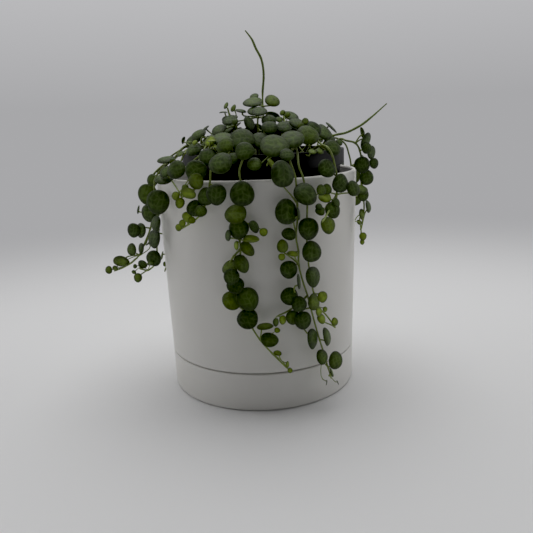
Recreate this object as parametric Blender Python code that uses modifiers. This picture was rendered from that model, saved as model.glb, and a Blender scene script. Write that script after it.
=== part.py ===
"""Potted string of turtles: a trailing peperomia in a black nursery pot, in a white pot on its saucer.

Metres, +Z up. The origin is on the floor under the middle of the saucer, and the front faces -Y.
A turn is in degrees round a pot, 0 at the front and growing towards +X.
"""

import math
import random

import bmesh
import bpy
from mathutils import Matrix, Vector, geometry
from mathutils.bvhtree import BVHTree

MM = 0.001
UP = Vector((0, 0, 1))

# White pot: the body steps in at the seam and stands inside the saucer, flush with it.
RIM_DIAMETER = 120 * MM
FOOT_DIAMETER = 114.2 * MM
POT_HEIGHT = 131 * MM
POT_WALL = 2.8 * MM
POT_FLOOR = 4 * MM
SAUCER_HEIGHT = 23 * MM
SAUCER_WALL = 2.8 * MM
SAUCER_FLOOR = 3.4 * MM
SEAM_GAP = 0.6 * MM
SEAM_STEP = 0.3 * MM
FOOT_ROUNDING = 2 * MM
DRAIN_HOLE_DIAMETER = 9 * MM
DRAIN_CIRCLE_DIAMETER = 46 * MM
DRAIN_HOLES = 3
FIRST_HOLE = 0.27

# Nursery pot: stands on the white pot's floor, a little off its middle, and rises above its rim.
NURSERY_CLEARANCE = 8.7 * MM
NURSERY_PROUD = 12 * MM
NURSERY_OFFSET = 4.4 * MM
NURSERY_WALL = 1.3 * MM
NURSERY_TAPER = 11 * MM
LIP_HEIGHT = 9 * MM
LIP_WIDTH = 1.4 * MM
NURSERY_HOLE_DIAMETER = 8 * MM
NURSERY_HOLES = 4
SOIL_BELOW_LIP = 8 * MM
SOIL_MOUND = 2.5 * MM

# Plant
STEM_DIAMETER = 1.5 * MM
TIP_DIAMETER = 0.9 * MM
STEM_STEP = 9 * MM
ROOT_RISE = 2.5 * MM
LEAF_NARROWNESS = 1.0
LEAF_DOME = 0.11
LEAF_BELLY = 0.07
STALK_DIAMETER = 1.6 * MM
# Sides of a leaf's outline in the solids, from the shortest leaf that has them.
LEAF_SIDES = [(10 * MM, 8), (8 * MM, 7), (5.5 * MM, 5), (0, 4)]
LEAF_ABOVE_STEM = 2.2 * MM
# Most that the crown's leaves turn to the front, where the light comes from, in degrees.
LIGHT_LEAN = 30
SPIKE_DIAMETER = 1.3 * MM
DRAWN_HEIGHT = 131 * MM

# Fits
GAP = 0.3 * MM
LEAF_CLEARANCE = 0.35 * MM
PUSH_STEP = 0.6 * MM
PUSH_STEPS = 26

RIM_RADIUS = RIM_DIAMETER / 2
INNER_RIM_RADIUS = RIM_RADIUS - POT_WALL
FOOT_RADIUS = FOOT_DIAMETER / 2
SEAM_RADIUS = FOOT_RADIUS + SEAM_STEP
SHOULDER = SAUCER_HEIGHT + SEAM_GAP / 2
SKIRT_RADIUS = FOOT_RADIUS - SAUCER_WALL - GAP
BODY_BASE = SAUCER_FLOOR + GAP
NURSERY_RADIUS = INNER_RIM_RADIUS - NURSERY_CLEARANCE
NURSERY_BASE = BODY_BASE + POT_FLOOR + GAP
NURSERY_TOP = POT_HEIGHT + NURSERY_PROUD
NURSERY_MIDDLE = Vector((NURSERY_OFFSET, 0, 0))
# Where the white pot's foot is narrow, the nursery pot tapers more, to stand clear of it.
NURSERY_ROOM = SKIRT_RADIUS - POT_WALL - NURSERY_OFFSET - 2 * GAP
NURSERY_EXCESS = NURSERY_RADIUS - LIP_WIDTH - NURSERY_ROOM
NURSERY_DRAW = max(NURSERY_TAPER, NURSERY_EXCESS * (NURSERY_TOP - NURSERY_BASE) / (NURSERY_TOP - SHOULDER))
SOIL_TOP = NURSERY_TOP - SOIL_BELOW_LIP

ROUND_STEPS = 36
DRILL_SIDES = 10
WELD = 0.01 * MM
EDGE = 0.6 * MM
WHITE_CERAMIC = (0.62, 0.62, 0.60)
LEAF_GREENS = [(0.07, 0.12, 0.035), (0.09, 0.14, 0.04), (0.06, 0.11, 0.05), (0.11, 0.15, 0.03)]


def clear_scene():
    for item in list(bpy.data.objects):
        bpy.data.objects.remove(item, do_unlink=True)


def collection(name):
    made = bpy.data.collections.new(name)
    bpy.context.scene.collection.children.link(made)
    return made


def material(name, colour, roughness, metallic=0.0):
    made = bpy.data.materials.new(name)
    made.use_nodes = True
    shader = made.node_tree.nodes["Principled BSDF"]
    shader.inputs["Base Color"].default_value = (*colour, 1)
    shader.inputs["Roughness"].default_value = roughness
    shader.inputs["Metallic"].default_value = metallic
    return made


def arc(middle, radius, start, end, steps):
    """Points of a round stretch of a profile, angles in degrees from outwards, growing upwards."""
    angles = [math.radians(start + (end - start) * i / steps) for i in range(steps + 1)]
    return [(middle[0] + radius * math.cos(a), middle[1] + radius * math.sin(a)) for a in angles]


def turned(name, profile, look):
    """A solid of revolution from a profile that starts and ends on the axis and runs down its outside."""
    mesh = bpy.data.meshes.new(name)
    points = [(x, 0, z) for x, z in profile]
    mesh.from_pydata(points, [(i, i + 1) for i in range(len(points) - 1)], [])
    made = bpy.data.objects.new(name, mesh)
    made.data.materials.append(look)
    PIECES.objects.link(made)
    screw = made.modifiers.new("turn", "SCREW")
    screw.axis = "Z"
    screw.steps = screw.render_steps = ROUND_STEPS
    screw.use_merge_vertices = True
    screw.merge_threshold = WELD
    screw.use_smooth_shade = True
    return made


def hole_cutters(target, count, diameter, circle, middle, bottom, top):
    """Upright drills evenly round a circle, taken out of the target."""
    for index in range(count):
        angle = 2 * math.pi * (index + FIRST_HOLE) / count
        place = middle + Vector((math.sin(angle), -math.cos(angle), 0)) * circle / 2
        place.z = (bottom + top) / 2
        bm = bmesh.new()
        bmesh.ops.create_cone(
            bm, cap_ends=True, segments=DRILL_SIDES, radius1=diameter / 2, radius2=diameter / 2,
            depth=top - bottom,
        )
        drill = guide(f"{target.name}_drill_{index + 1}", bm)
        drill.location = place
        cut = target.modifiers.new(f"hole_{index + 1}", "BOOLEAN")
        cut.operation = "DIFFERENCE"
        cut.object = drill


def guide(name, bm):
    """A shape that only cuts or joins another: it isn't a piece of the object."""
    mesh = bpy.data.meshes.new(name)
    bm.to_mesh(mesh)
    bm.free()
    made = bpy.data.objects.new(name, mesh)
    made.hide_render = True
    made.display_type = "WIRE"
    GUIDES.objects.link(made)
    return made


# ---- pots and soil ----------------------------------------------------------------------------


def make_saucer():
    inner = FOOT_RADIUS - SAUCER_WALL
    top = SAUCER_HEIGHT - SEAM_GAP / 2
    profile = [(0, SAUCER_FLOOR), (inner, SAUCER_FLOOR), (inner, top)]
    profile += arc((SEAM_RADIUS - EDGE, top - EDGE), EDGE, 90, 0, 3)
    profile += arc((FOOT_RADIUS - FOOT_ROUNDING, FOOT_ROUNDING), FOOT_ROUNDING, 0, -90, 4)
    profile += [(0, 0)]
    return turned("saucer", profile, material("white_ceramic_saucer", WHITE_CERAMIC, 0.45))


def make_outer_pot():
    inner_base = SKIRT_RADIUS - POT_WALL
    lip = POT_WALL / 2
    profile = [(0, BODY_BASE + POT_FLOOR), (inner_base, BODY_BASE + POT_FLOOR)]
    profile += [(inner_base, SHOULDER), (SEAM_RADIUS - POT_WALL, SHOULDER + POT_WALL * 2)]
    profile += arc((RIM_RADIUS - lip, POT_HEIGHT - lip), lip, 180, 0, 5)
    profile += arc((SEAM_RADIUS - EDGE, SHOULDER + EDGE), EDGE, 0, -90, 3)
    profile += [(SKIRT_RADIUS, SHOULDER), (SKIRT_RADIUS, BODY_BASE), (0, BODY_BASE)]
    pot = turned("outer_pot", profile, material("white_ceramic_pot", WHITE_CERAMIC, 0.45))
    hole_cutters(
        pot, DRAIN_HOLES, DRAIN_HOLE_DIAMETER, DRAIN_CIRCLE_DIAMETER, Vector(),
        BODY_BASE - MM, BODY_BASE + POT_FLOOR + MM,
    )
    return pot


def nursery_wall_radius(height):
    """The nursery pot's outside below its lip, at a height above the floor."""
    share = (NURSERY_TOP - height) / (NURSERY_TOP - NURSERY_BASE)
    return NURSERY_RADIUS - LIP_WIDTH - NURSERY_DRAW * share


def make_nursery_pot():
    floor_top = NURSERY_BASE + NURSERY_WALL
    lip_base = NURSERY_TOP - LIP_HEIGHT
    profile = [(0, floor_top), (nursery_wall_radius(floor_top) - NURSERY_WALL, floor_top)]
    profile += [(nursery_wall_radius(NURSERY_TOP) - NURSERY_WALL, NURSERY_TOP)]
    profile += arc((NURSERY_RADIUS - EDGE, NURSERY_TOP - EDGE), EDGE, 90, 0, 2)
    profile += [(NURSERY_RADIUS, lip_base), (nursery_wall_radius(lip_base), lip_base)]
    profile += [(nursery_wall_radius(NURSERY_BASE), NURSERY_BASE), (0, NURSERY_BASE)]
    look = material("black_polypropylene", (0.012, 0.012, 0.013), 0.4)
    pot = turned("nursery_pot", profile, look)
    pot.location = NURSERY_MIDDLE
    circle = 2 * (nursery_wall_radius(NURSERY_BASE) - 3 * NURSERY_WALL - NURSERY_HOLE_DIAMETER / 2)
    hole_cutters(
        pot, NURSERY_HOLES, NURSERY_HOLE_DIAMETER, circle, NURSERY_MIDDLE, NURSERY_BASE - MM,
        floor_top + MM,
    )
    return pot


def soil_height(radius):
    """The potting mix's surface, a low mound."""
    share = radius / (nursery_wall_radius(SOIL_TOP) - NURSERY_WALL - GAP)
    return SOIL_TOP + SOIL_MOUND * (1 - min(share, 1) ** 2)


def make_potting_mix():
    def side(height):
        return nursery_wall_radius(height) - NURSERY_WALL - GAP

    edge = side(SOIL_TOP)
    bottom = NURSERY_BASE + NURSERY_WALL + GAP
    profile = [(edge * i / 4, soil_height(edge * i / 4)) for i in range(5)]
    profile += [(side(bottom), bottom), (0, bottom)]
    soil = turned("potting_mix", profile, material("potting_mix", (0.035, 0.022, 0.014), 0.95))
    soil.location = NURSERY_MIDDLE
    return soil


# ---- where stems and leaves are ------------------------------------------------------------------


def outwards(turn):
    angle = math.radians(turn)
    return Vector((math.sin(angle), -math.cos(angle), 0))


def wall(turn, out, drop):
    """A place by the white pot: out from its rim's edge or its wall, and below the rim's top, in mm."""
    height = POT_HEIGHT - drop * MM * (POT_HEIGHT / DRAWN_HEIGHT if drop > 0 else 1)
    share = (POT_HEIGHT - height) / (POT_HEIGHT - SHOULDER)
    radius = max(RIM_RADIUS, RIM_RADIUS + (SEAM_RADIUS - RIM_RADIUS) * share)
    return outwards(turn) * (radius + out * MM) + UP * height


def crown(turn, share, rise):
    """A place over the nursery pot: a share of its radius from its middle, rise in mm above its lip."""
    return NURSERY_MIDDLE + outwards(turn) * share * NURSERY_RADIUS + UP * (NURSERY_TOP + rise * MM)


def root(turn, share):
    """Where a stem leaves the potting mix: two places, so that it starts upright."""
    radius = share * NURSERY_RADIUS
    foot = NURSERY_MIDDLE + outwards(turn) * radius + UP * (soil_height(radius) + GAP)
    return [foot, foot + UP * ROOT_RISE]


class Leaf:
    """A leaf's place, the way it faces before it is tilted, its tip's direction and its length."""

    def __init__(self, centre, out, size, tilt, axis):
        across = UP.cross(out).normalized()
        down = across.cross(out).normalized()
        tip = math.cos(math.radians(axis)) * down + math.sin(math.radians(axis)) * across
        self.centre, self.out, self.tip, self.size = centre, out, tip, size * MM
        self.face = Matrix.Rotation(math.radians(-tilt), 3, tip) @ out


def hung(turn, out, drop, size, tilt=0, axis=0, nod=12, faces=None):
    """A leaf by the white pot. Tilt turns it about its length, axis swings its tip from down to +turn.

    It faces away from the pot, or the way of the turn that is given.
    """
    level = outwards(turn if faces is None else faces)
    facing = level * math.cos(math.radians(nod)) + UP * math.sin(math.radians(nod))
    return Leaf(wall(turn, out, drop), facing, size, tilt, axis)


def topped(turn, share, rise, size, tilt=0, axis=0, nod=None):
    """A leaf of the crown, which faces up over the middle of the pot and outwards past its lip."""
    raised = math.radians(58 - 22 * share**2 if nod is None else nod)
    level = outwards(turn - LIGHT_LEAN * math.sin(math.radians(turn)))
    facing = level * math.cos(raised) + UP * math.sin(raised)
    return Leaf(crown(turn, share, rise), facing, size, tilt, axis)


# ---- stems and leaves ------------------------------------------------------------------------------


def smooth_route(places):
    """Even points about a step apart on one smooth curve through the places."""
    ends = [places[0] * 2 - places[1]] + list(places) + [places[-1] * 2 - places[-2]]
    route = [places[0]]
    for before, start, end, after in zip(ends, ends[1:], ends[2:], ends[3:]):
        steps = max(1, round((end - start).length / STEM_STEP))
        reach = (end - start).length / 3
        leave = start + (end - before).normalized() * reach
        arrive = end - (after - start).normalized() * reach
        route += geometry.interpolate_bezier(start, leave, arrive, end, steps + 1)[1:]
    return [Vector(point) for point in route]


def tube(name, route, radii):
    """A round stem along the route as a closed mesh."""
    curve = bpy.data.curves.new(name, "CURVE")
    curve.dimensions = "3D"
    curve.bevel_depth = 1
    curve.bevel_resolution = 1
    curve.use_fill_caps = True
    spline = curve.splines.new("POLY")
    spline.points.add(len(route) - 1)
    for point, place, radius in zip(spline.points, route, radii):
        point.co = (*place, 1)
        point.radius = radius
    rod = bpy.data.objects.new(name, curve)
    PIECES.objects.link(rod)
    bpy.context.view_layer.update()
    mesh = bpy.data.meshes.new_from_object(rod.evaluated_get(bpy.context.evaluated_depsgraph_get()))
    bpy.data.objects.remove(rod)
    bm = bmesh.new()
    bm.from_mesh(mesh)
    bpy.data.meshes.remove(mesh)
    bmesh.ops.remove_doubles(bm, verts=bm.verts, dist=WELD)
    return bm


def stem(name, route):
    """A stem that thins towards its tip."""
    last = len(route) - 1
    slim = [STEM_DIAMETER + (TIP_DIAMETER - STEM_DIAMETER) * i / last for i in range(last + 1)]
    return tube(name, route, [width / 2 for width in slim])


def leaf_shape(leaf, centre, anchor, swell=0.0, stalk=True):
    """A domed round blade whose underside is drawn out to a stalk that ends in the stem at anchor."""
    sides = next(count for shortest, count in LEAF_SIDES if leaf.size >= shortest)
    bm = bmesh.new()
    bmesh.ops.create_uvsphere(bm, u_segments=sides, v_segments=3, radius=1)
    side = leaf.tip.cross(leaf.face)
    half = leaf.size / 2 + swell
    belly = leaf.size * LEAF_BELLY + swell
    dome = leaf.size * LEAF_DOME + swell
    beyond = (anchor - centre).normalized() * TIP_DIAMETER * 0.3
    # The sphere's levels from its top pole down: the dome, the rim, the stalk's root and the stalk's end.
    for vert in bm.verts:
        around = Vector((vert.co.x, vert.co.y, 0)).normalized()
        if vert.co.z > 0.9:
            vert.co = centre + leaf.face * dome
        elif vert.co.z > 0:
            vert.co = centre + (side * around.x * LEAF_NARROWNESS + leaf.tip * around.y) * half
        elif vert.co.z > -0.9:
            thick = STALK_DIAMETER / 2 + swell
            vert.co = centre + (side * around.x + leaf.tip * around.y) * thick - leaf.face * belly
        else:
            vert.co = anchor + beyond if stalk else centre - leaf.face * belly
    return bm


def settle(leaf, route, near, own_leaves):
    """Lifts a leaf outwards until it clears every other piece, and picks where its stalk joins."""
    joins = sorted(route[1:], key=lambda point: (point - leaf.centre).length)[:5]
    for step in range(PUSH_STEPS):
        centre = leaf.centre + leaf.out * PUSH_STEP * step
        for anchor in joins:
            if (centre - anchor).dot(leaf.face) < LEAF_ABOVE_STEM:
                continue
            whole = leaf_shape(leaf, centre, anchor, LEAF_CLEARANCE)
            blade = leaf_shape(leaf, centre, anchor, LEAF_CLEARANCE, stalk=False)
            tree, disc = BVHTree.FromBMesh(whole), BVHTree.FromBMesh(blade)
            whole.free()
            blade.free()
            if any(tree.overlap(other) for other in near):
                continue
            if any(disc.overlap(other) for other in own_leaves):
                continue
            return centre, anchor
    raise RuntimeError(f"no clear place for a leaf at {tuple(round(c, 4) for c in leaf.centre)}")


class Vine:
    """One plant: its stem's route, side stems that start on it, and its leaves."""

    def __init__(self, name, places, leaves, sides=()):
        self.name, self.leaves = name, leaves
        self.route = smooth_route(places)
        self.sides = [smooth_route(side) for side in sides]


def join(parts):
    """One mesh of all the parts."""
    whole = bmesh.new()
    for part in parts:
        mesh = bpy.data.meshes.new("part")
        part.to_mesh(mesh)
        part.free()
        whole.from_mesh(mesh)
        bpy.data.meshes.remove(mesh)
    return whole


def make_vines(vines):
    """Stems first, so that every leaf can settle clear of all of them, then the leaves, vine by vine."""
    stems = {vine.name: [stem(vine.name, route) for route in (vine.route, *vine.sides)] for vine in vines}
    stem_trees = {name: [BVHTree.FromBMesh(part) for part in parts] for name, parts in stems.items()}
    pots = [pot_tree(name) for name in ("outer_pot", "saucer", "nursery_pot", "potting_mix")]
    spikes = [pot_tree(name) for name in SPIKES]
    placed = {}
    for index, vine in enumerate(vines):
        foreign = pots + spikes + [tree for leaves in placed.values() for tree in leaves]
        foreign += [tree for name, trees in stem_trees.items() if name != vine.name for tree in trees]
        own, own_blades, parts = [], [], stems[vine.name][1:]
        route = vine.route + [point for side in vine.sides for point in side]
        for leaf in vine.leaves:
            centre, anchor = settle(leaf, route, foreign, own_blades)
            shape = leaf_shape(leaf, centre, anchor)
            own.append(BVHTree.FromBMesh(shape))
            blade = leaf_shape(leaf, centre, anchor, stalk=False)
            own_blades.append(BVHTree.FromBMesh(blade))
            blade.free()
            parts.append(shape)
        placed[vine.name] = own
        green = LEAF_GREENS[index % len(LEAF_GREENS)]
        body = piece(vine.name, stems[vine.name][0], material(vine.name + "_green", green, 0.45))
        union = body.modifiers.new("leaves", "BOOLEAN")
        union.operation = "UNION"
        union.use_self = True
        union.object = guide(vine.name + "_growth", join(parts))


def pot_tree(name):
    """The finished shape of a piece that is already made, for leaves to keep clear of."""
    graph = bpy.context.evaluated_depsgraph_get()
    made = bpy.data.objects[name]
    mesh = made.evaluated_get(graph).to_mesh()
    points = [made.matrix_world @ v.co for v in mesh.vertices]
    return BVHTree.FromPolygons(points, [tuple(p.vertices) for p in mesh.polygons])


def piece(name, bm, look):
    mesh = bpy.data.meshes.new(name)
    bm.to_mesh(mesh)
    bm.free()
    made = bpy.data.objects.new(name, mesh)
    mesh.materials.append(look)
    PIECES.objects.link(made)
    return made


# ---- flower spikes -------------------------------------------------------------------------------

# Each spike: where it leaves the soil, its places as mm from the nursery pot's middle and above its lip,
# and how many of the places belong to its stalk.
SPIKES = {
    "upright_flower_spike": (
        (20, 0.1),
        [
            (1, -4, 17), (1, -4, 32), (2, -6, 43), (1, -8, 51), (-2, -10, 57), (-4, -12, 61.5),
            (-7.5, -14, 66),
        ],
        3,
    ),
    "side_flower_spike": (
        (48, 0.55),
        [
            (26, -25, 3.5), (33, -26, 6), (41, -24, 8), (47, -23, 9), (55, -22, 12.5), (61, -21, 16.5),
            (70.5, -19, 24),
        ],
        3,
    ),
}
SPIKE_STALK = 0.75
SPIKE_POINT = (0.5, 0.8)


def make_spike(name, foot, places, stalk_places):
    """A slender flower spike on its paler stalk."""
    lip = NURSERY_MIDDLE + UP * NURSERY_TOP
    route = root(*foot) + [lip + Vector(place) * MM for place in places]
    points = smooth_route(route)
    stalk_end = (route[stalk_places] - points[0]).length
    radii = []
    for point in points:
        flowering = (point - points[0]).length > stalk_end
        radii.append(SPIKE_DIAMETER / 2 * (1 if flowering else SPIKE_STALK))
    for place, narrowing in enumerate(SPIKE_POINT, 1):
        radii[-place] *= narrowing
    return piece(name, tube(name, points, radii), material(name + "_green", (0.13, 0.17, 0.03), 0.6))


# ---- the vines in front, each as it grows --------------------------------------------------------


def front_vines():
    left_outer = Vine(
        "left_outer_vine",
        root(-78, 0.72) + [crown(-78, 0.94, 4), crown(-78, 1.1, -2), wall(-78, 1.5, -1), wall(-78, 3, 9),
                           wall(-78.5, 3.5, 18), wall(-79, 4.5, 24), wall(-79.5, 6, 31),
                           wall(-80, 10, 39.5), wall(-80.5, 14, 47), wall(-81, 19, 51.5),
                           wall(-82, 24.5, 54.5), wall(-82.5, 30, 56.5)],
        [
            hung(-63, -6, -6, 11, 20, 60, 60), hung(-73, 3, 1.5, 7.5, 50, 0, 30),
            hung(-77, 6, 10, 13, 60), hung(-70, 7, 20, 11, 45, 0, 5), hung(-80.5, 12, 19.5, 5.5, -10),
            hung(-78.5, 11.5, 31.5, 9.5, 35), hung(-79, 7.5, 33, 9.2, 60), hung(-79, 6.5, 40, 4.6, 40, 90),
            hung(-80.5, 12.5, 43, 7.4, 25), hung(-81, 18, 43.5, 8.2, 45),
            hung(-82, 25, 50.5, 10.5, 50, -72, 12, -20), hung(-82.5, 33, 55.5, 5.2, 0, -80, 12, -20),
            hung(-82, 29, 54.5, 3.8, 30, -60, 12, -20),
        ],
    )
    left_inner = Vine(
        "left_inner_vine",
        root(-66, 0.75) + [crown(-66, 0.95, 5), crown(-67, 1.12, -1), wall(-68, 2, 0), wall(-69, 3, 12),
                           wall(-69.5, 3, 24), wall(-70, 3.5, 33), wall(-70.5, 4, 41),
                           wall(-71.5, 4.5, 49), wall(-74.5, 9.5, 55), wall(-76, 14.5, 54)],
        [
            hung(-51, 4, -1, 11.5, 35, 60, 35), hung(-56, 6, 12, 14.5, 40), hung(-62, 6, 25, 10, 12),
            hung(-66, 6, 34.5, 11.5, 22), hung(-70, 6.5, 47, 10.2, 25, -25, 12, -40),
            hung(-75.5, 12.5, 51.5, 6.2, 60, 40, 12, -20), hung(-76.5, 17, 52.5, 2.9, 0, -40, 12, -20),
            hung(-76.5, 18, 56, 3, 30, -70, 12, -20), hung(-76, 15, 59.5, 6, 0, 0, 12, -20),
            hung(-71.5, 5.5, 50.5, 4.5, 60, 75, 12, -20),
        ],
    )
    left_rim = Vine(
        "left_rim_shoot",
        root(-45, 0.7) + [crown(-42, 0.93, 5), crown(-37, 1.12, 1), wall(-31, 1.5, -5), wall(-28, 3, -1),
                          wall(-29, 5, 3), wall(-32, 6, 6), wall(-36, 7, 8)],
        [
            hung(-42, 3, -6, 11, 20, -70, 45, -25), hung(-29, 4, -5.5, 12, 25, -65, 30, -20),
            hung(-28, 6, -0.5, 9, 20, -90, 20, -20), hung(-34, 6.5, 3, 4.2, 0, 0, 12, -20),
            hung(-38.5, 7, 7.5, 5, 0, 0, 12, -20), hung(-31.5, 7.5, 5.5, 8.5, 50, -82, 12, -20),
            hung(-35.5, 7.5, 11, 6, 60, -12, 12, -20), hung(-49, 4, -4.5, 8, 20, 40, 30),
        ],
    )
    left_front = Vine(
        "left_front_vine",
        root(-30, 0.62) + [crown(-27, 0.9, 5), crown(-25, 1.1, 1), wall(-22, 1.5, -6),
                           wall(-22.5, 3, 1), wall(-24.5, 4, 9.5), wall(-28, 5, 17.5),
                           wall(-34.5, 5.5, 22.5), wall(-39.5, 6, 25.5)],
        [
            hung(-18, 7, 6, 11.5, 0, 0, 12, -15), hung(-24, 5, 7.5, 10, 0, 10, 12, -20),
            hung(-29, 7, 13.5, 9.2, 35, -15, 12, -20), hung(-25.5, 8, 14.5, 6.8, 30, 30, 12, -20),
            hung(-33, 8, 18, 6, 15, -60, 12, -20), hung(-30.5, 8, 19.5, 4.2, 40, 20, 12, -20),
            hung(-36, 8, 21.5, 4.2, 0, -30, 12, -20), hung(-38.5, 8, 24, 4.2, 0, -60, 12, -20),
        ],
    )
    front_left = Vine(
        "front_left_vine",
        root(-14, 0.62) + [crown(-13, 0.88, 5), crown(-11, 1.08, 2), wall(-6.5, 1, -10), wall(-8, 2, -5),
                           wall(-7.5, 3, 0.5), wall(-8, 4, 10), wall(-8.5, 4, 20), wall(-9, 4, 30),
                           wall(-9, 4, 37), wall(-11.5, 4, 45), wall(-11, 5, 57), wall(-7.5, 5, 69),
                           wall(-5, 4, 78), wall(-1.5, 4, 85), wall(4, 4, 93), wall(11.5, 4, 103)],
        [
            hung(-6.5, 7, 6, 13.5, 20), hung(-9.5, 8, 16, 12, 25, 90), hung(-8.5, 8, 23.5, 11),
            hung(-13, 8, 27, 6.2, -45), hung(-2, 8, 22.5, 7.3, 50, 25), hung(-3.5, 8, 29, 8.8, 62, 85),
            hung(2, 8, 25.5, 4.6), hung(-10, 8, 32, 5.2, -50), hung(-5.5, 8, 34, 9.5, 55, 40),
            hung(-8, 8, 41.5, 10.8, 55, 27), hung(-13.5, 7, 44, 9.5, -30, -70), hung(-12, 8, 48.5, 9),
            hung(-11, 9, 53, 9.8, 20, 60), hung(-13, 8, 61.5, 11.5, 35, 55),
            hung(-6, 8, 60.5, 13.5, 35, 30),
            hung(-6.5, 8, 71.5, 12, 20, 90), hung(1, 6, 77, 9.5, 75, 93), hung(6.5, 7, 79, 3.4, 30, 90),
            hung(2.8, 7, 84, 10.2, 45, 80), hung(6.5, 6, 92.5, 4.8, 60, 80), hung(11, 6, 99.5, 4, 50),
            hung(12, 6, 103, 3.2, 20, 60),
        ],
        sides=[[wall(-9, 4, 35), wall(-12, 5, 38.5), wall(-14, 6, 42)]],
    )
    front_centre = Vine(
        "front_centre_vine",
        root(8, 0.62) + [crown(11, 0.88, 6), crown(13.5, 1.08, 3), wall(16, 2, -9), wall(17, 3, -5),
                         wall(18, 4, 0), wall(18.5, 4, 13), wall(18.5, 4, 20), wall(17.5, 4, 30),
                         wall(18.5, 4, 38), wall(18.5, 4, 45), wall(20.5, 4, 55), wall(22.5, 4.5, 62.5),
                         wall(25.5, 5, 77), wall(28.5, 5, 89), wall(30.5, 5, 96), wall(33.5, 5, 107),
                         wall(35.5, 5, 114)],
        [
            hung(11, 7, -3, 14.5, 20), hung(12, 8, 16, 14, 15), hung(17, 8, 17.5, 7, 60),
            hung(13, 8, 27.5, 8, 30, 90), hung(10, 8, 33.5, 7.4, 20), hung(9.5, 8, 39, 4),
            hung(14.5, 8, 38, 6.2, 60, 85), hung(12.5, 8, 46, 10), hung(16, 8, 53, 8.6, 62),
            hung(12.5, 8, 60.5, 10.2, 10, 90), hung(16, 9, 65, 9), hung(13.5, 9, 72, 8.2),
            hung(17.5, 9, 74, 10.3), hung(9, 8, 73, 5.3, 30), hung(5.5, 8, 73.5, 4.8, 40),
            hung(23, 8, 86, 11.8, 35), hung(31, 8, 87, 10.8, 35, 10), hung(28, 8, 98, 9, 15, 30),
            hung(36, 8, 102.5, 10.8), hung(31, 8, 107.5, 5.8, 50, 15),
            hung(34.5, 7, 110.5, 3.6, 40, 40),
            hung(31, 7, 114.5, 3.4, 50, -20), hung(36.5, 6, 116.5, 3, 50, 20),
        ],
        sides=[[wall(22.5, 4.5, 62.5), wall(17, 6, 66), wall(12, 6.5, 69), wall(7, 7, 71)]],
    )
    front_right = Vine(
        "front_right_vine",
        root(20, 0.66) + [crown(18.5, 0.92, 5), crown(18.5, 1.1, 2), wall(20.5, 2, -6), wall(22, 3.5, 0),
                          wall(23.5, 4, 12), wall(23, 4, 26), wall(23, 4.5, 40), wall(24, 5, 52),
                          wall(25.5, 5.5, 62), wall(28, 6, 70), wall(31.5, 7, 75), wall(36, 8, 83)],
        [
            hung(21, 8, 7.5, 13.5, 20, 90), hung(28.5, 8, 6.5, 6.2), hung(22, 8, 25.5, 12.4),
            hung(23.5, 8, 38, 12), hung(24, 8, 51.5, 11.8, 20), hung(23.5, 8, 65.5, 9.6, 20),
            hung(28.5, 8, 63.5, 6.6), hung(29.5, 9, 70.5, 3.2), hung(27.5, 9, 75.5, 6, 20, 60),
            hung(34.5, 9, 79, 5), hung(25.5, 9, 71, 5.5, 20),
        ],
    )
    right_front = Vine(
        "right_front_vine",
        root(38, 0.66) + [crown(37, 0.92, 6), crown(35, 1.12, 3.5), wall(36, 4, -14), wall(38, 5, -9),
                          wall(38.5, 6, -4), wall(40, 6, 1.5), wall(38.5, 7, 10), wall(37, 8, 13),
                          wall(32, 10, 16.5), wall(28.5, 13, 19), wall(25, 16, 21.5)],
        [
            hung(34, 5, -4, 10.5, 10, -60, 30, 15), hung(41, 5, 5.5, 10.5, 20, -60, 20, 15),
            hung(32.5, 7, 6.5, 6, 0, 0, 12, 15),
            hung(31.5, 7, 10.5, 7.4, 30, 90, 12, 15), hung(36, 8, 14, 5, 20, 30, 12, 15),
            hung(34, 8, 17.5, 9.5, 10, 20, 12, 15),
            hung(30, 11, 24.5, 9.6, 25, 10, 12, 5), hung(27.5, 9, 17, 5.6, 20, 80, 12, 10),
            hung(48, 4.5, 9.5, 9, 10, 10, 15, 20), hung(26.5, 10, 14.5, 4, 20, 90, 12, 10),
        ],
    )
    right = Vine(
        "right_vine",
        root(72, 0.72) + [crown(72, 0.95, 5), wall(67, -4, -16.5), wall(68.5, 0.5, -15), wall(69, 3, -11),
                          wall(70, 4, -3), wall(70, 4, 9), wall(70.5, 5.5, 20), wall(70, 5, 29),
                          wall(69, 4, 35)],
        [
            hung(69.5, 3, -20.5, 6.4, -30, 180), hung(69.5, 4.5, -15.5, 10.5, -35, 60),
            hung(67, 4, -11.5, 7, -45),
            hung(71.5, 9, -9.5, 8.2, -30, 20), hung(67, 5, -3, 10, -55), hung(71.5, 9, -3, 6.5, -50),
            hung(70, 7, 4.5, 9.6, -50), hung(63, 5, 10.5, 9.8, -60, -60), hung(66, 6, 14, 7.5, -50),
            hung(71, 8, 21.5, 8, -10), hung(67, 5, 25, 6, -20), hung(66, 6, 38, 5, -50),
            hung(66, 5, 41.5, 3.4, -40),
        ],
    )
    left = [left_outer, left_inner, left_rim, left_front]
    return left + [front_left, front_centre, front_right, right_front, right]


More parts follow.
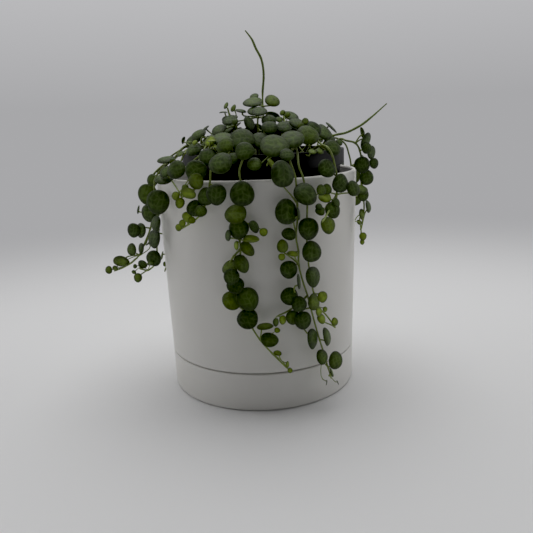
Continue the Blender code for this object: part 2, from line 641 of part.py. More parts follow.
def crown_shoots():
    left_tips = Vine(
        "left_crown_shoot",
        root(-60, 0.55) + [crown(-60, 0.8, 4), crown(-58, 0.98, 4.5), crown(-55, 1.1, 1),
                           crown(-53, 1.2, -5)],
        [
            topped(-58, 1.0, 7, 4.6, 50, 90), topped(-70, 1.0, 8, 4.6, 60, 180),
            topped(-48, 1.06, 3.5, 9.6, 10, 90),
            topped(-56, 1.14, 1, 4.6, 20, 90), topped(-56, 1.24, -3, 4.2, 50), topped(-50, 1.24, -6, 3),
            topped(-66, 0.86, 5, 9), topped(-58, 0.72, 7, 10),
        ],
    )
    left_top = Vine(
        "left_top_shoot",
        root(-34, 0.4) + [crown(-35, 0.66, 3), crown(-37, 0.88, 5), crown(-37, 1.04, 2)],
        [
            topped(-42, 0.7, 7, 9, 0, 60), topped(-30, 0.92, 8.5, 12, 0, 90, 58),
            topped(-31, 1.18, 0, 10.2, 10, 0, 30),
            topped(-35, 1.0, 6.5, 7, 10, 180, 35), topped(-45, 0.98, 8, 4.6, 65, 180),
            topped(-47, 1.03, 6, 3.4),
            topped(-31, 1.08, 7.5, 5, 50, 90), topped(-28, 1.09, 4.5, 5.6, 50, 70), topped(-23, 1.04, 2, 9.4),
        ],
    )
    front_top = Vine(
        "front_top_shoot",
        root(-14, 0.36) + [crown(-15, 0.65, 3), crown(-16, 0.88, 4), crown(-17, 1.07, 0),
                           wall(-14.5, 1.5, -8)],
        [
            topped(-14, 0.97, 7, 14.5, 0, 90), topped(-23, 0.98, 5, 6), topped(-20, 1.1, 2, 9, 0, 90),
            topped(-17, 1.18, -1, 7.5, 10, 90), topped(-10, 1.14, 0, 10.5, 0, 90),
            hung(-15.5, 6, -9.5, 13, 0, 90, 35),
        ],
    )
    left_high = Vine(
        "left_high_shoot",
        root(-45, 0.28) + [crown(-42, 0.42, 9), crown(-38, 0.5, 15), crown(-40, 0.58, 21),
                           crown(-41, 0.6, 25)],
        [
            topped(-50, 0.66, 13, 9.5), topped(-62, 0.5, 13, 10),
            topped(-33, 0.68, 18, 8.8, 10, 100, 40),
            topped(-26, 0.7, 17, 4, nod=30), topped(-41, 0.62, 26, 4.2, 30, 180, 30),
            topped(-34, 0.58, 24.5, 4.6, 30, 180, 30),
            topped(-48, 0.6, 22.5, 5, 40, 90), topped(-45, 0.6, 19, 4.6, nod=40),
        ],
    )
    centre = Vine(
        "centre_shoot",
        root(-20, 0.14) + [crown(-15, 0.2, 11), crown(-12, 0.22, 19), crown(5, 0.18, 25)],
        [
            topped(60, 0.4, 19, 10.5), topped(-70, 0.4, 18, 10), topped(150, 0.3, 20, 10),
            topped(-12, 0.72, 16, 8.5, 50, 0, 30), topped(6, 0.68, 17, 8.5, nod=30),
            topped(-3, 0.6, 21, 9, 0, 90, 55),
            topped(-36, 0.42, 23, 7, 30, 60), topped(-12, 0.42, 22.5, 8, 0, 90, 50),
            topped(33, 0.24, 28, 9.4, nod=40),
            topped(-19, 0.3, 27, 12, 0, 90, 62), topped(-30, 0.16, 31, 5.5, 0, 90, 50),
        ],
    )
    centre_right = Vine(
        "centre_right_shoot",
        root(40, 0.26) + [crown(32, 0.42, 8), crown(27, 0.54, 14), crown(25, 0.58, 19)],
        [
            topped(60, 0.6, 12, 10.5), topped(40, 0.62, 15, 9.5), topped(5, 0.84, 13.5, 9, nod=35),
            topped(16, 0.84, 13.5, 8.8, 0, 90, 45), topped(22, 0.62, 21, 3.6, 30, 180, 30),
            topped(29, 0.6, 20, 3.6, 30, 180, 30), topped(18, 0.62, 17.5, 4.4, nod=40),
        ],
    )
    front_right_top = Vine(
        "front_right_top_shoot",
        root(2, 0.44) + [crown(3, 0.72, 3), crown(4, 0.92, 4), crown(4, 1.1, 0), crown(1, 1.2, -5)],
        [
            topped(-3, 0.92, 7, 11.5, 0, 90), topped(17, 1.02, 5.5, 13.5, 15, 115),
            topped(5.5, 1.1, 3, 16, 0, 90, 44),
            topped(11, 1.18, -2, 8, 10, 90), topped(-5, 1.24, -4, 8, 10, 90),
            topped(3, 1.26, -4, 6.4, 55, 20),
        ],
    )
    right_top = Vine(
        "right_top_shoot",
        root(32, 0.44) + [crown(32, 0.68, 4.5), crown(31, 0.86, 6.5), crown(29, 1.04, 3.5)],
        [
            topped(39, 0.86, 10.5, 11, 0, 90, 30), topped(31, 0.96, 9, 13, 0, 90, 35),
            topped(30, 0.84, 14, 4, 30, 180, 30),
            topped(35, 0.82, 15.5, 4, 20, 180, 30), topped(27, 1.14, 0.5, 4.6, 30, 90),
            topped(32, 1.14, 0.5, 4.6, 20, 60),
        ],
    )
    right_low = Vine(
        "right_low_shoot",
        root(45, 0.7) + [crown(43, 0.9, 2.5), crown(42, 1.06, 2)],
        [
            topped(43, 1.12, 1.5, 10, 0, 90), topped(55, 1.06, 4, 4.4), topped(53, 0.86, 8, 10, 0, 60),
            topped(66, 0.84, 7, 10.5),
        ],
    )
    low = [left_tips, left_top, front_top, front_right_top, right_top, right_low]
    return low + [left_high, centre, centre_right]


# ---- the vines behind, by rule -------------------------------------------------------------------

LEAF_SPACING = 8
# Turn round the pot and length of each vine that trails behind, in degrees and mm below the rim.
BACK_VINES = [(106, 34), (126, 78), (146, 46), (166, 96), (187, 60), (208, 84), (229, 38), (250, 62)]
BACK_SHOOTS = [92, 128, 168, 206, 244, 282]
# A back shoot's leaves: degrees beside it, share of the nursery pot's radius, and mm above its lip.
BACK_LEAVES = [
    (-16, 0.42, 9), (14, 0.5, 8), (-12, 0.66, 6), (16, 0.76, 4.5), (0, 0.6, 9), (5, 0.8, 11), (-4, 0.36, 12),
]


def trailing_vine(number, turn, hang):
    """A vine that climbs over both rims and trails, with leaves by turns left and right of it."""
    chance = random.Random(number)
    places = root(turn, 0.7) + [crown(turn, 0.92, 5), crown(turn, 1.1, 2)]
    places += [wall(turn, 1.5, -6), wall(turn, 3, 1)]
    drift, sway, start = chance.uniform(-0.12, 0.12), chance.uniform(1.5, 3.5), chance.uniform(0, 6)

    def bearing(drop):
        return turn + drift * drop + sway * math.sin(drop / 13 + start) * min(1, drop / 15)

    leaves = [topped(turn - 5, 0.8, 6, 10, axis=40), topped(turn + 5, 0.94, 6, 9, axis=-40)]
    for drop in range(14, hang - 4, 14):
        places.append(wall(bearing(drop), 4 + chance.uniform(-0.3, 0.8), drop))
    for index, level in enumerate(range(0, hang, LEAF_SPACING)):
        side = 1 if index % 2 else -1
        grown = 1 - level / hang
        drop = level + chance.uniform(-1.5, 1.5)
        size = (5 + 8 * min(1, 1.6 * grown)) * chance.uniform(0.72, 1.08)
        away = side * (2.2 + 0.32 * size + chance.uniform(-0.8, 0.6))
        tilt = chance.uniform(-40, 40)
        faces = turn + side * chance.uniform(5, 35)
        leaves.append(hung(bearing(drop) + away, 7 + chance.uniform(-1, 2), drop, size, tilt,
                           side * chance.uniform(10, 70), faces=faces))
    places.append(wall(bearing(hang), 5, hang + 3))
    leaves.append(hung(bearing(hang), 7, hang + 4, 4, 35, 20))
    leaves.append(hung(bearing(hang) + 3.5, 6.5, hang - 1, 3.6, -30, 60))
    return Vine(f"back_vine_{number + 1}", places, leaves)


def back_shoots():
    """Shoots that cover the soil at the back of the crown."""
    shoots = []
    for number, turn in enumerate(BACK_SHOOTS):
        chance = random.Random(40 + number)
        route = root(turn, 0.34) + [crown(turn, 0.5, 4), crown(turn, 0.64, 7)]
        leaves = []
        for side, share, rise in BACK_LEAVES:
            lift, size = chance.uniform(-1, 1), chance.uniform(8.5, 12)
            leaves.append(topped(turn + side, share, rise + lift, size, axis=side * 2))
        shoots.append(Vine(f"back_shoot_{number + 1}", route, leaves))
    return shoots


def main():
    make_saucer()
    make_outer_pot()
    make_nursery_pot()
    make_potting_mix()
    for name, (foot, places, stalk_places) in SPIKES.items():
        make_spike(name, foot, places, stalk_places)
    bpy.context.view_layer.update()
    behind = [trailing_vine(number, turn, hang) for number, (turn, hang) in enumerate(BACK_VINES)]
    make_vines(front_vines() + crown_shoots() + behind + back_shoots())


clear_scene()
PIECES = collection("potted_string_of_turtles")
GUIDES = collection("guides")
main()
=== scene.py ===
"""Potted string of turtles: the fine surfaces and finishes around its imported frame.

Metres, +Z up. A turn is in degrees round a pot, 0 at the front (-Y) and growing towards +X.
"""

import functools
import math
import random

import bmesh
import bpy
from bpy.props import FloatProperty, FloatVectorProperty, IntProperty, PointerProperty
from bpy.types import Operator, Panel, PropertyGroup
from mathutils import Matrix, Vector, geometry, kdtree, noise
from mathutils.bvhtree import BVHTree


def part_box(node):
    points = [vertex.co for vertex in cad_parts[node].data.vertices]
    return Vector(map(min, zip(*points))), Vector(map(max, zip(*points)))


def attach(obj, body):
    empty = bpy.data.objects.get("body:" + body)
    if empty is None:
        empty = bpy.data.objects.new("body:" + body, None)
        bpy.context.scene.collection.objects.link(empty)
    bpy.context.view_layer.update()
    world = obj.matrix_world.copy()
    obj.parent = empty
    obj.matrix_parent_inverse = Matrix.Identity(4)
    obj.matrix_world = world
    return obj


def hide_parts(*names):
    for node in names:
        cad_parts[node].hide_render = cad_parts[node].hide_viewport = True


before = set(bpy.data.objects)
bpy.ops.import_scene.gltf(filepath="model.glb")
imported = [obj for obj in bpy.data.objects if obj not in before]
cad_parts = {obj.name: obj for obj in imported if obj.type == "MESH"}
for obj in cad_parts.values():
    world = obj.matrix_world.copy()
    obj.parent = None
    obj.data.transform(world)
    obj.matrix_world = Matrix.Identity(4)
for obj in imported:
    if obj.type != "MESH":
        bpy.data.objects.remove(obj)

bl_info = {
    "name": "Potted String of Turtles",
    "version": (1, 0, 0),
    "blender": (4, 5, 0),
    "location": "3D View > Sidebar > Turtles",
    "description": "A trailing potted plant in its nursery pot, white pot and saucer",
    "category": "Object",
}

MM = 0.001
UP = Vector((0, 0, 1))
BODY = "root"
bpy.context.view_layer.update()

# Places that the frame gives.
RIM_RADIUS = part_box("outer_pot")[1].x
POT_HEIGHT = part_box("outer_pot")[1].z
BODY_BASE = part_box("outer_pot")[0].z
SEAM_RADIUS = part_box("saucer")[1].x
SAUCER_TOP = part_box("saucer")[1].z
NURSERY_LOW, NURSERY_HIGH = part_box("nursery_pot")
NURSERY_BASE, NURSERY_TOP = NURSERY_LOW.z, NURSERY_HIGH.z
NURSERY_RADIUS = (NURSERY_HIGH.x - NURSERY_LOW.x) / 2
NURSERY_MIDDLE = Vector(((NURSERY_LOW.x + NURSERY_HIGH.x) / 2, 0, 0))
SOIL_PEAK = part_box("potting_mix")[1].z
SOIL_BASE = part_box("potting_mix")[0].z

# Plant sizes that fix where leaves and stems lie.
SOIL_MOUND = 2.5 * MM
SOIL_TOP = SOIL_PEAK - SOIL_MOUND
NURSERY_WALL = 1.3 * MM
NURSERY_TAPER = 11 * MM
LIP_WIDTH = 1.4 * MM
LIP_HEIGHT = 9 * MM
GAP = 0.3 * MM
STEM_DIAMETER = 1.5 * MM
TIP_DIAMETER = 0.9 * MM
STEM_STEP = 9 * MM
ROOT_RISE = 2.5 * MM
LEAF_NARROWNESS = 1.0
LEAF_DOME = 0.11
LEAF_BELLY = 0.07
STALK_DIAMETER = 1.6 * MM
# Sides of a leaf's outline while it is being placed, from the shortest leaf that has them.
LEAF_SIDES = [(10 * MM, 8), (8 * MM, 7), (5.5 * MM, 5), (0, 4)]
LEAF_ABOVE_STEM = 2.2 * MM
# Most that the crown's leaves at the sides turn to the front, in degrees.
LIGHT_LEAN = 30
LEAF_CLEARANCE = 0.35 * MM
PUSH_STEP = 0.6 * MM
PUSH_STEPS = 26
SPIKE_DIAMETER = 1.3 * MM
# The height of the white pot that every drop below its rim is given for.
DRAWN_HEIGHT = 131 * MM
WELD = 0.01 * MM
SEAM_GAP = 0.6 * MM
SHOULDER = SAUCER_TOP + SEAM_GAP

# How finely the pieces are made.
POT_STEPS = 192
SOIL_STEPS = 120
SOIL_RINGS = 26
FLUTE_POINTS = 4
FLUTE_MARGIN = 1 * MM
BLADE_SIDES = 10
BLADE_LEVELS = 6
BLADE_SPREAD = 0.53
STEM_FINENESS = 6
SPIKE_FINENESS = 24
STALK_POINTS = 8
NODE_REACH = 0.9 * MM

# Stage
PAPER_RADIUS = 40
# Distances over which the lit paper gives way to its painted glow.
PAPER_NEAR = 0.2
PAPER_FAR = 0.75
BRIGHT_WAY = (-0.3, 1, 0)
TOP_PLACE = (0, 0.12, 0.75)
TOP_AIM = (0, 0, 0.05)
TOP_WIDTH = 0.7
SIDE_REACH = 0.7
SIDE_BACK = 0.12
SIDE_HEIGHT = 0.35
SIDE_AIM = (0, 0, 0.07)
SIDE_WIDTH = 0.6
CAMERA_PLACE = Vector((0, -0.362, 0.1601))
CAMERA_AIM = Vector((0.00395, 0, 0.0706))
CAMERA_ROLL = -0.0377
SENSOR = 36
LENS = 39.8
# The scene light that still shows as black, which keeps the shade between the leaves deep.
BLACK_LEVEL = 0.007


def linear(code):
    """An sRGB hex colour as linear red, green and blue."""
    channels = [int(code[i : i + 2], 16) / 255 for i in (1, 3, 5)]
    return tuple(c / 12.92 if c <= 0.04045 else ((c + 0.055) / 1.055) ** 2.4 for c in channels)


def length(name, description, millimetres, most=200):
    """A size that the user may change."""
    return FloatProperty(
        name=name, description=description, default=millimetres * MM, min=0, max=most * MM,
        unit="LENGTH", precision=5,
    )


def power(name, description, watts):
    """A light's power that the user may change."""
    return FloatProperty(name=name, description=description, default=watts, min=0)


def colour(name, description, code):
    """A colour that the user may change."""
    return FloatVectorProperty(
        name=name, description=description, default=linear(code), min=0, max=1, subtype="COLOR"
    )


class TurtlePots(PropertyGroup):
    """Sizes and colours of the pots and the potting mix."""

    wall: length("Wall", "Thickness of the white pot's wall", 2.8)
    floor: length("Floor", "Thickness of the white pot's floor", 4)
    saucer_wall: length("Saucer Wall", "Thickness of the saucer's wall", 2.8)
    saucer_floor: length("Saucer Floor", "Thickness of the saucer's floor", 3.4)
    seam_step: length("Seam Step", "How far the body and saucer stand out past the foot at the seam", 0.3)
    edge: length("Edge", "Rounding of the glazed edges at the seam", 0.9)
    foot_rounding: length("Foot Rounding", "Rounding under the saucer", 2)
    flutes: IntProperty(
        name="Flutes", description="Flutes round the nursery pot", default=56, min=0, max=120
    )
    flute_depth: length("Flute Depth", "Depth of the nursery pot's flutes", 0.28)
    crumbs: IntProperty(
        name="Crumbs", description="Bark and perlite crumbs on the potting mix", default=260, min=0, max=800
    )
    glaze: colour("Glaze", "The white glaze", "#e6e5e1")
    glaze_shade: colour("Glaze Shade", "The glaze where it lies thinner", "#dddbd5")
    plastic: colour("Plastic", "The nursery pot's black plastic", "#090909")
    dust: colour("Dust", "Dust and scuffs on the black plastic", "#3c3a37")
    peat: colour("Peat", "The darkest of the potting mix", "#1d130c")
    bark: colour("Bark", "The palest of the potting mix", "#5a4330")
    perlite: colour("Perlite", "Perlite crumbs", "#c9c4b8")


class TurtlePlant(PropertyGroup):
    """Sizes and colours of the leaves, stems and flower spikes."""

    node_swelling: FloatProperty(
        name="Node Swelling", description="How much thicker a stem is where a leaf joins it", default=0.3,
        min=0, max=1, subtype="FACTOR",
    )
    stem: length("Stem", "Diameter of a stem near the soil", 1.25, 3)
    stalk: length("Leaf Stalk", "Diameter of a leaf's stalk", 0.85, 3)
    vein_spacing: FloatProperty(
        name="Vein Spacing", description="Distance between the pale veins as a share of half a blade",
        default=0.42, min=0.1, max=1, subtype="FACTOR",
    )
    vein_strength: FloatProperty(
        name="Vein Strength", description="How pale the veins are", default=0.3, min=0, max=1,
        subtype="FACTOR",
    )
    old_leaf: colour("Old Leaf", "A full-grown leaf between its veins", "#304016")
    grown_leaf: colour("Grown Leaf", "A leaf that has just reached its size", "#3e5018")
    young_leaf: colour("Young Leaf", "A young leaf", "#5d6e19")
    newest_leaf: colour("Newest Leaf", "The newest leaves at a tip", "#86992c")
    vein: colour("Vein", "The pale veins of a full-grown leaf", "#75854f")
    underside: colour("Underside", "The paler back of a leaf", "#55642e")
    old_stem: colour("Old Stem", "A stem near the soil", "#66713a")
    young_stem: colour("Young Stem", "A stem near its tip", "#8b9c4a")
    spike: colour("Spike", "A flower spike", "#63742a")
    spike_stalk: colour("Spike Stalk", "The stalk below a flower spike", "#86983f")


class TurtleStage(PropertyGroup):
    """The plain floor and the soft studio light."""

    paper: colour("Paper", "The pale seamless floor", "#e4e4e4")
    # The far floor also glows with this colour, a painted glow in place of lit paper.
    horizon: colour("Horizon", "The backdrop low down and the far floor", "#a8a8aa")
    backdrop: colour("Backdrop", "The backdrop higher up", "#b9b9bb")
    sky: colour("Sky", "The light from overhead", "#b4b4b6")
    top_light: power("Top Light", "Power of the overhead softbox", 2.85)
    left_light: power("Left Light", "Power of the left softbox", 0.7)
    right_light: power("Right Light", "Power of the right softbox", 0.88)
    front_dimming: FloatProperty(
        name="Front Dimming", description="How much less light comes from the front than from behind",
        default=0.8, min=0, max=1, subtype="FACTOR",
    )


# ---- making meshes and materials ---------------------------------------------------------------


def arc(middle, radius, start, end, steps):
    """Points of a round stretch of a profile, angles in degrees from outwards, growing upwards."""
    angles = [math.radians(start + (end - start) * i / steps) for i in range(steps + 1)]
    return [(middle[0] + radius * math.cos(a), middle[1] + radius * math.sin(a)) for a in angles]


def spun(profile, steps):
    """A solid of revolution from a profile that starts and ends on the axis."""
    bm = bmesh.new()
    verts = [bm.verts.new((x, 0, z)) for x, z in profile]
    edges = [bm.edges.new(pair) for pair in zip(verts, verts[1:])]
    bmesh.ops.spin(
        bm, geom=verts + edges, cent=(0, 0, 0), axis=(0, 0, 1), dvec=(0, 0, 0), angle=2 * math.pi,
        steps=steps, use_merge=True, use_duplicate=False,
    )
    bmesh.ops.remove_doubles(bm, verts=bm.verts, dist=WELD)
    bmesh.ops.recalc_face_normals(bm, faces=bm.faces)
    return bm


def finished(name, bm, look, slot, *nodes, sharp=40):
    """A piece of the object from its mesh: it rides on the plant's one body and stands for CAD nodes."""
    mesh = bpy.data.meshes.new(name)
    for face in bm.faces:
        face.smooth = True
    bm.to_mesh(mesh)
    bm.free()
    mesh.set_sharp_from_angle(angle=math.radians(sharp))
    mesh.materials.append(look)
    piece = bpy.data.objects.new(name, mesh)
    bpy.context.scene.collection.objects.link(piece)
    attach(piece, BODY)
    if nodes:
        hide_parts(*nodes)
    return piece


def add_node(tree, kind, inputs=None, **settings):
    """Adds a shader node, with its own settings, and a value or a link for each input that is named."""
    node = tree.nodes.new(f"ShaderNode{kind}")
    for name, value in settings.items():
        setattr(node, name, value)
    for key, value in (inputs or {}).items():
        if isinstance(value, bpy.types.NodeSocket):
            tree.links.new(value, node.inputs[key])
        else:
            node.inputs[key].default_value = value
    return node


def object_place(tree):
    """A point's own coordinates, in metres."""
    return add_node(tree, "TexCoord").outputs["Object"]


def noise_of(tree, place, millimetres, detail, **more):
    """Smooth noise from 0 to 1 with features of a size."""
    inputs = {"Vector": place, "Scale": waves_per(millimetres), "Detail": detail, **more}
    return add_node(tree, "TexNoise", inputs).outputs["Fac"]


def ranged(tree, value, low, high, least, most, blend="LINEAR"):
    """A value's range from low to high drawn out to least to most."""
    inputs = {"Value": value, "From Min": low, "From Max": high, "To Min": least, "To Max": most}
    return add_node(tree, "MapRange", inputs, interpolation_type=blend).outputs["Result"]


def maths(tree, operation, *values):
    """A sum on up to three values."""
    return add_node(tree, "Math", dict(enumerate(values)), operation=operation).outputs[0]


def scaled(tree, tint, share):
    """A colour made lighter or darker."""
    inputs = {0: tint, "Scale": share}
    return add_node(tree, "VectorMath", inputs, operation="SCALE").outputs["Vector"]


def mixed(tree, share, first, second):
    """Two colours mixed, each a socket or red, green and blue."""
    inputs = {"Factor": share}
    for key, tint in (("A", first), ("B", second)):
        inputs[key] = tint if isinstance(tint, bpy.types.NodeSocket) else (*tint, 1)
    return add_node(tree, "Mix", inputs, data_type="RGBA").outputs["Result"]


def toned(tree, value, stops):
    """A colour from a value by a ramp's stops: place and colour."""
    ramp = add_node(tree, "ValToRGB", {"Fac": value})
    elements = ramp.color_ramp.elements
    while len(elements) < len(stops):
        elements.new(1)
    for element, (place, tint) in zip(elements, stops):
        element.position = place
        element.color = (*tint, 1)
    return ramp.outputs["Color"]


def bumped(tree, strength, millimetres, height, **settings):
    """A relief of a depth from a height."""
    inputs = {"Strength": strength, "Distance": millimetres * MM, "Height": height}
    return add_node(tree, "Bump", inputs, **settings)


def attribute(tree, name):
    """A value that the mesh carries."""
    return add_node(tree, "Attribute", attribute_name=name).outputs["Fac"]


def waves_per(millimetres):
    """A noise texture's scale for features of a size, on coordinates in metres."""
    return 1 / (millimetres * MM)


def new_material(name):
    """A material with its node tree and its Principled shader."""
    made = bpy.data.materials.new(name)
    made.use_nodes = True
    return made, made.node_tree, made.node_tree.nodes["Principled BSDF"]


def dress(tree, shader, tint, rough, relief, **values):
    """Gives a shader its colour, roughness, relief and other values."""
    inputs = {"Base Color": tint, "Roughness": rough, "Normal": relief.outputs["Normal"]}
    inputs.update({name.replace("_", " "): value for name, value in values.items()})
    for name, value in inputs.items():
        if isinstance(value, bpy.types.NodeSocket):
            tree.links.new(value, shader.inputs[name])
        else:
            shader.inputs[name].default_value = value


@functools.lru_cache(maxsize=None)
def glazed_ceramic():
    """Matt-glazed white earthenware, cast and dipped: smooth and satin, with a faint drift in the glaze.

    The pot and its saucer are fired as a pair and share it.
    """
    pots = bpy.context.scene.turtle_pots
    made, tree, shader = new_material("glazed_white_ceramic")
    place = object_place(tree)
    tint = mixed(tree, noise_of(tree, place, 38, 3), pots.glaze_shade, pots.glaze)
    rough = ranged(tree, noise_of(tree, place, 12, 4), 0.3, 0.7, 0.36, 0.47)
    dress(tree, shader, tint, rough, bumped(tree, 0.06, 0.2, noise_of(tree, place, 2.2, 2)), IOR=1.5)
    return made


def black_polypropylene():
    """Injection-moulded polypropylene, thin and black: a soft sheen over a fine grain, dulled by dust."""
    pots = bpy.context.scene.turtle_pots
    made, tree, shader = new_material("black_polypropylene")
    place = object_place(tree)
    dirt = noise_of(tree, place, 9, 6)
    tint = mixed(tree, ranged(tree, dirt, 0.55, 0.8, 0, 0.2), pots.plastic, pots.dust)
    relief = bumped(tree, 0.15, 0.05, noise_of(tree, place, 0.5, 2))
    rough = ranged(tree, dirt, 0.3, 0.8, 0.4, 0.65)
    dress(tree, shader, tint, rough, relief, IOR=1.49, Specular_IOR_Level=0.32)
    return made


def moist_potting_mix():
    """Peat and composted bark, damp: dull and very dark, with paler fibres and grains about 1 mm across."""
    pots = bpy.context.scene.turtle_pots
    made, tree, shader = new_material("moist_potting_mix")
    place = object_place(tree)
    tint = toned(tree, noise_of(tree, place, 4, 8, Roughness=0.7), [(0.35, pots.peat), (0.75, pots.bark)])
    grains = add_node(tree, "TexVoronoi", {"Vector": place, "Scale": waves_per(1.1)})
    dress(tree, shader, tint, 0.9, bumped(tree, 0.8, 0.6, grains.outputs["Distance"]))
    return made


def crumb_mix():
    """Crumbs of bark and perlite: bark is brown and dull, perlite is off-white volcanic glass, popped."""
    pots = bpy.context.scene.turtle_pots
    made, tree, shader = new_material("bark_and_perlite")
    specks = noise_of(tree, object_place(tree), 0.8, 3)
    stops = [(0, pots.peat), (0.55, pots.bark), (0.8, pots.bark), (0.9, pots.perlite)]
    tint = mixed(tree, specks, pots.peat, toned(tree, attribute(tree, "kind"), stops))
    dress(tree, shader, tint, 0.85, bumped(tree, 0.5, 0.2, specks))
    return made


@functools.lru_cache(maxsize=None)
def succulent_leaf():
    """Living succulent leaf: a waxy skin with a soft sheen, dark between pale veins."""
    plant = bpy.context.scene.turtle_plant
    made, tree, shader = new_material("succulent_leaf")
    place = object_place(tree)
    blade = add_node(tree, "UVMap", uv_map="blade").outputs["UV"]
    centred = add_node(tree, "VectorMath", {0: blade, 1: (2, 2, 0), 2: (-1, -1, 0)},
                       operation="MULTIPLY_ADD").outputs["Vector"]
    parts = add_node(tree, "SeparateXYZ", {"Vector": centred})
    along = parts.outputs["Y"]

    # Main veins fan out from the stalk and meet again at the tip, so they keep their share of the width.
    drift = ranged(tree, noise_of(tree, place, 4.5, 1), 0, 1, -0.34, 0.34)
    squared = maths(tree, "MULTIPLY", along, along)
    half_width = maths(tree, "POWER", maths(tree, "SUBTRACT", 1.06, squared), 0.5)
    lane = maths(tree, "ADD", maths(tree, "DIVIDE", parts.outputs["X"], half_width), drift)
    from_main = maths(tree, "PINGPONG", lane, plant.vein_spacing / 2)
    main = ranged(tree, from_main, 0, 0.12, 0.8, 0, "SMOOTHSTEP")
    # Cross veins step from one main vein to the next.
    raised = maths(tree, "MULTIPLY_ADD", maths(tree, "ABSOLUTE", lane), 0.4, along)
    from_cross = maths(tree, "PINGPONG", maths(tree, "ADD", raised, drift), plant.vein_spacing * 0.45)
    cross = ranged(tree, from_cross, 0, 0.1, 0.75, 0, "SMOOTHSTEP")
    veins = maths(tree, "MAXIMUM", main, cross)

    mottle = noise_of(tree, place, 2.6, 4)
    patchy = ranged(tree, mottle, 0.35, 0.65, plant.vein_strength * 0.45, plant.vein_strength)
    tones = toned(tree, attribute(tree, "shade"), [
        (0, plant.old_leaf), (0.4, plant.grown_leaf), (0.72, plant.young_leaf), (1, plant.newest_leaf)
    ])
    flesh = scaled(tree, tones, ranged(tree, mottle, 0.3, 0.7, 0.62, 1.38))
    veined = mixed(tree, maths(tree, "MULTIPLY", veins, patchy), flesh, plant.vein)
    # Every blade is painted paler in its middle, a painted highlight that stands in for the sheen on its
    # dome, and darker towards its rim.
    rimward = add_node(tree, "VectorMath", {0: centred}, operation="LENGTH").outputs["Value"]
    with_painted_highlight = scaled(tree, veined, ranged(tree, rimward, 0.3, 1, 1.28, 0.5, "SMOOTHSTEP"))
    backed = maths(tree, "MULTIPLY", attribute(tree, "underside"), 0.6)
    tint = mixed(tree, backed, with_painted_highlight, plant.underside)

    skin = bumped(tree, 0.12, 0.08, noise_of(tree, place, 0.6, 2))
    sunk = bumped(tree, 0.35, 0.15, veins, invert=True)
    tree.links.new(skin.outputs["Normal"], sunk.inputs["Normal"])
    dress(
        tree, shader, tint, ranged(tree, mottle, 0.3, 0.7, 0.42, 0.56), sunk, IOR=1.45,
        Specular_IOR_Level=0.3, Subsurface_Weight=0.12, Subsurface_Radius=(0.5, 1, 0.25),
        Subsurface_Scale=0.8 * MM,
    )
    return made


@functools.lru_cache(maxsize=None)
def succulent_stem(name, older, younger):
    """Fleshy green stem: smooth and a little glossy, paler towards its growing tip."""
    made, tree, shader = new_material(name)
    streaks = noise_of(tree, object_place(tree), 1.8, 4)
    tones = toned(tree, attribute(tree, "tipwards"), [(0, older), (1, younger)])
    tint = scaled(tree, tones, ranged(tree, streaks, 0.3, 0.7, 0.7, 1.25))
    dress(tree, shader, tint, 0.48, bumped(tree, 0.3, 0.1, streaks), IOR=1.45)
    return made


# ---- pots and potting mix ----------------------------------------------------------------------


def build_saucer():
    """The saucer that the white pot stands in, flush with it."""
    pots = bpy.context.scene.turtle_pots
    inner = SEAM_RADIUS - pots.seam_step - pots.saucer_wall
    foot = SEAM_RADIUS - pots.seam_step
    profile = [(0, pots.saucer_floor)]
    profile += arc((inner - pots.edge, pots.saucer_floor + pots.edge), pots.edge, -90, 0, 4)
    profile += arc((inner + pots.edge / 2, SAUCER_TOP - pots.edge / 2), pots.edge / 2, 180, 90, 4)
    profile += arc((SEAM_RADIUS - pots.edge, SAUCER_TOP - pots.edge), pots.edge, 90, 0, 6)
    profile += arc((foot - pots.foot_rounding, pots.foot_rounding), pots.foot_rounding, 0, -90, 8)
    profile += [(0, 0)]
    solid = spun(profile, POT_STEPS)
    return finished("saucer_glazed", solid, glazed_ceramic(), "glazed_white_ceramic", "saucer")


def build_outer_pot():
    """The white pot: straight sides, a soft rolled rim, and a skirt that stands inside the saucer."""
    pots = bpy.context.scene.turtle_pots
    skirt = SEAM_RADIUS - pots.seam_step - pots.saucer_wall - GAP
    lip = pots.wall / 2
    floor_top = BODY_BASE + pots.floor
    inner_foot = skirt - pots.wall
    profile = [(0, floor_top)]
    profile += arc((inner_foot - 2 * pots.edge, floor_top + 2 * pots.edge), 2 * pots.edge, -90, 0, 5)
    profile += [(inner_foot, SHOULDER), (SEAM_RADIUS - pots.wall, SHOULDER + pots.wall * 2)]
    profile += arc((RIM_RADIUS - lip, POT_HEIGHT - lip), lip, 180, 0, 14)
    profile += arc((SEAM_RADIUS - pots.edge, SHOULDER + pots.edge), pots.edge, 0, -90, 6)
    profile += [(skirt, SHOULDER)]
    profile += arc((skirt - pots.edge, BODY_BASE + pots.edge), pots.edge, 0, -90, 4)
    profile += [(0, BODY_BASE)]
    solid = spun(profile, POT_STEPS)
    return finished("outer_pot_glazed", solid, glazed_ceramic(), "glazed_white_ceramic", "outer_pot")


def nursery_wall_radius(height):
    """The nursery pot's outside below its lip, at a height above the floor."""
    share = (NURSERY_TOP - height) / (NURSERY_TOP - NURSERY_BASE)
    return NURSERY_RADIUS - LIP_WIDTH - NURSERY_TAPER * share


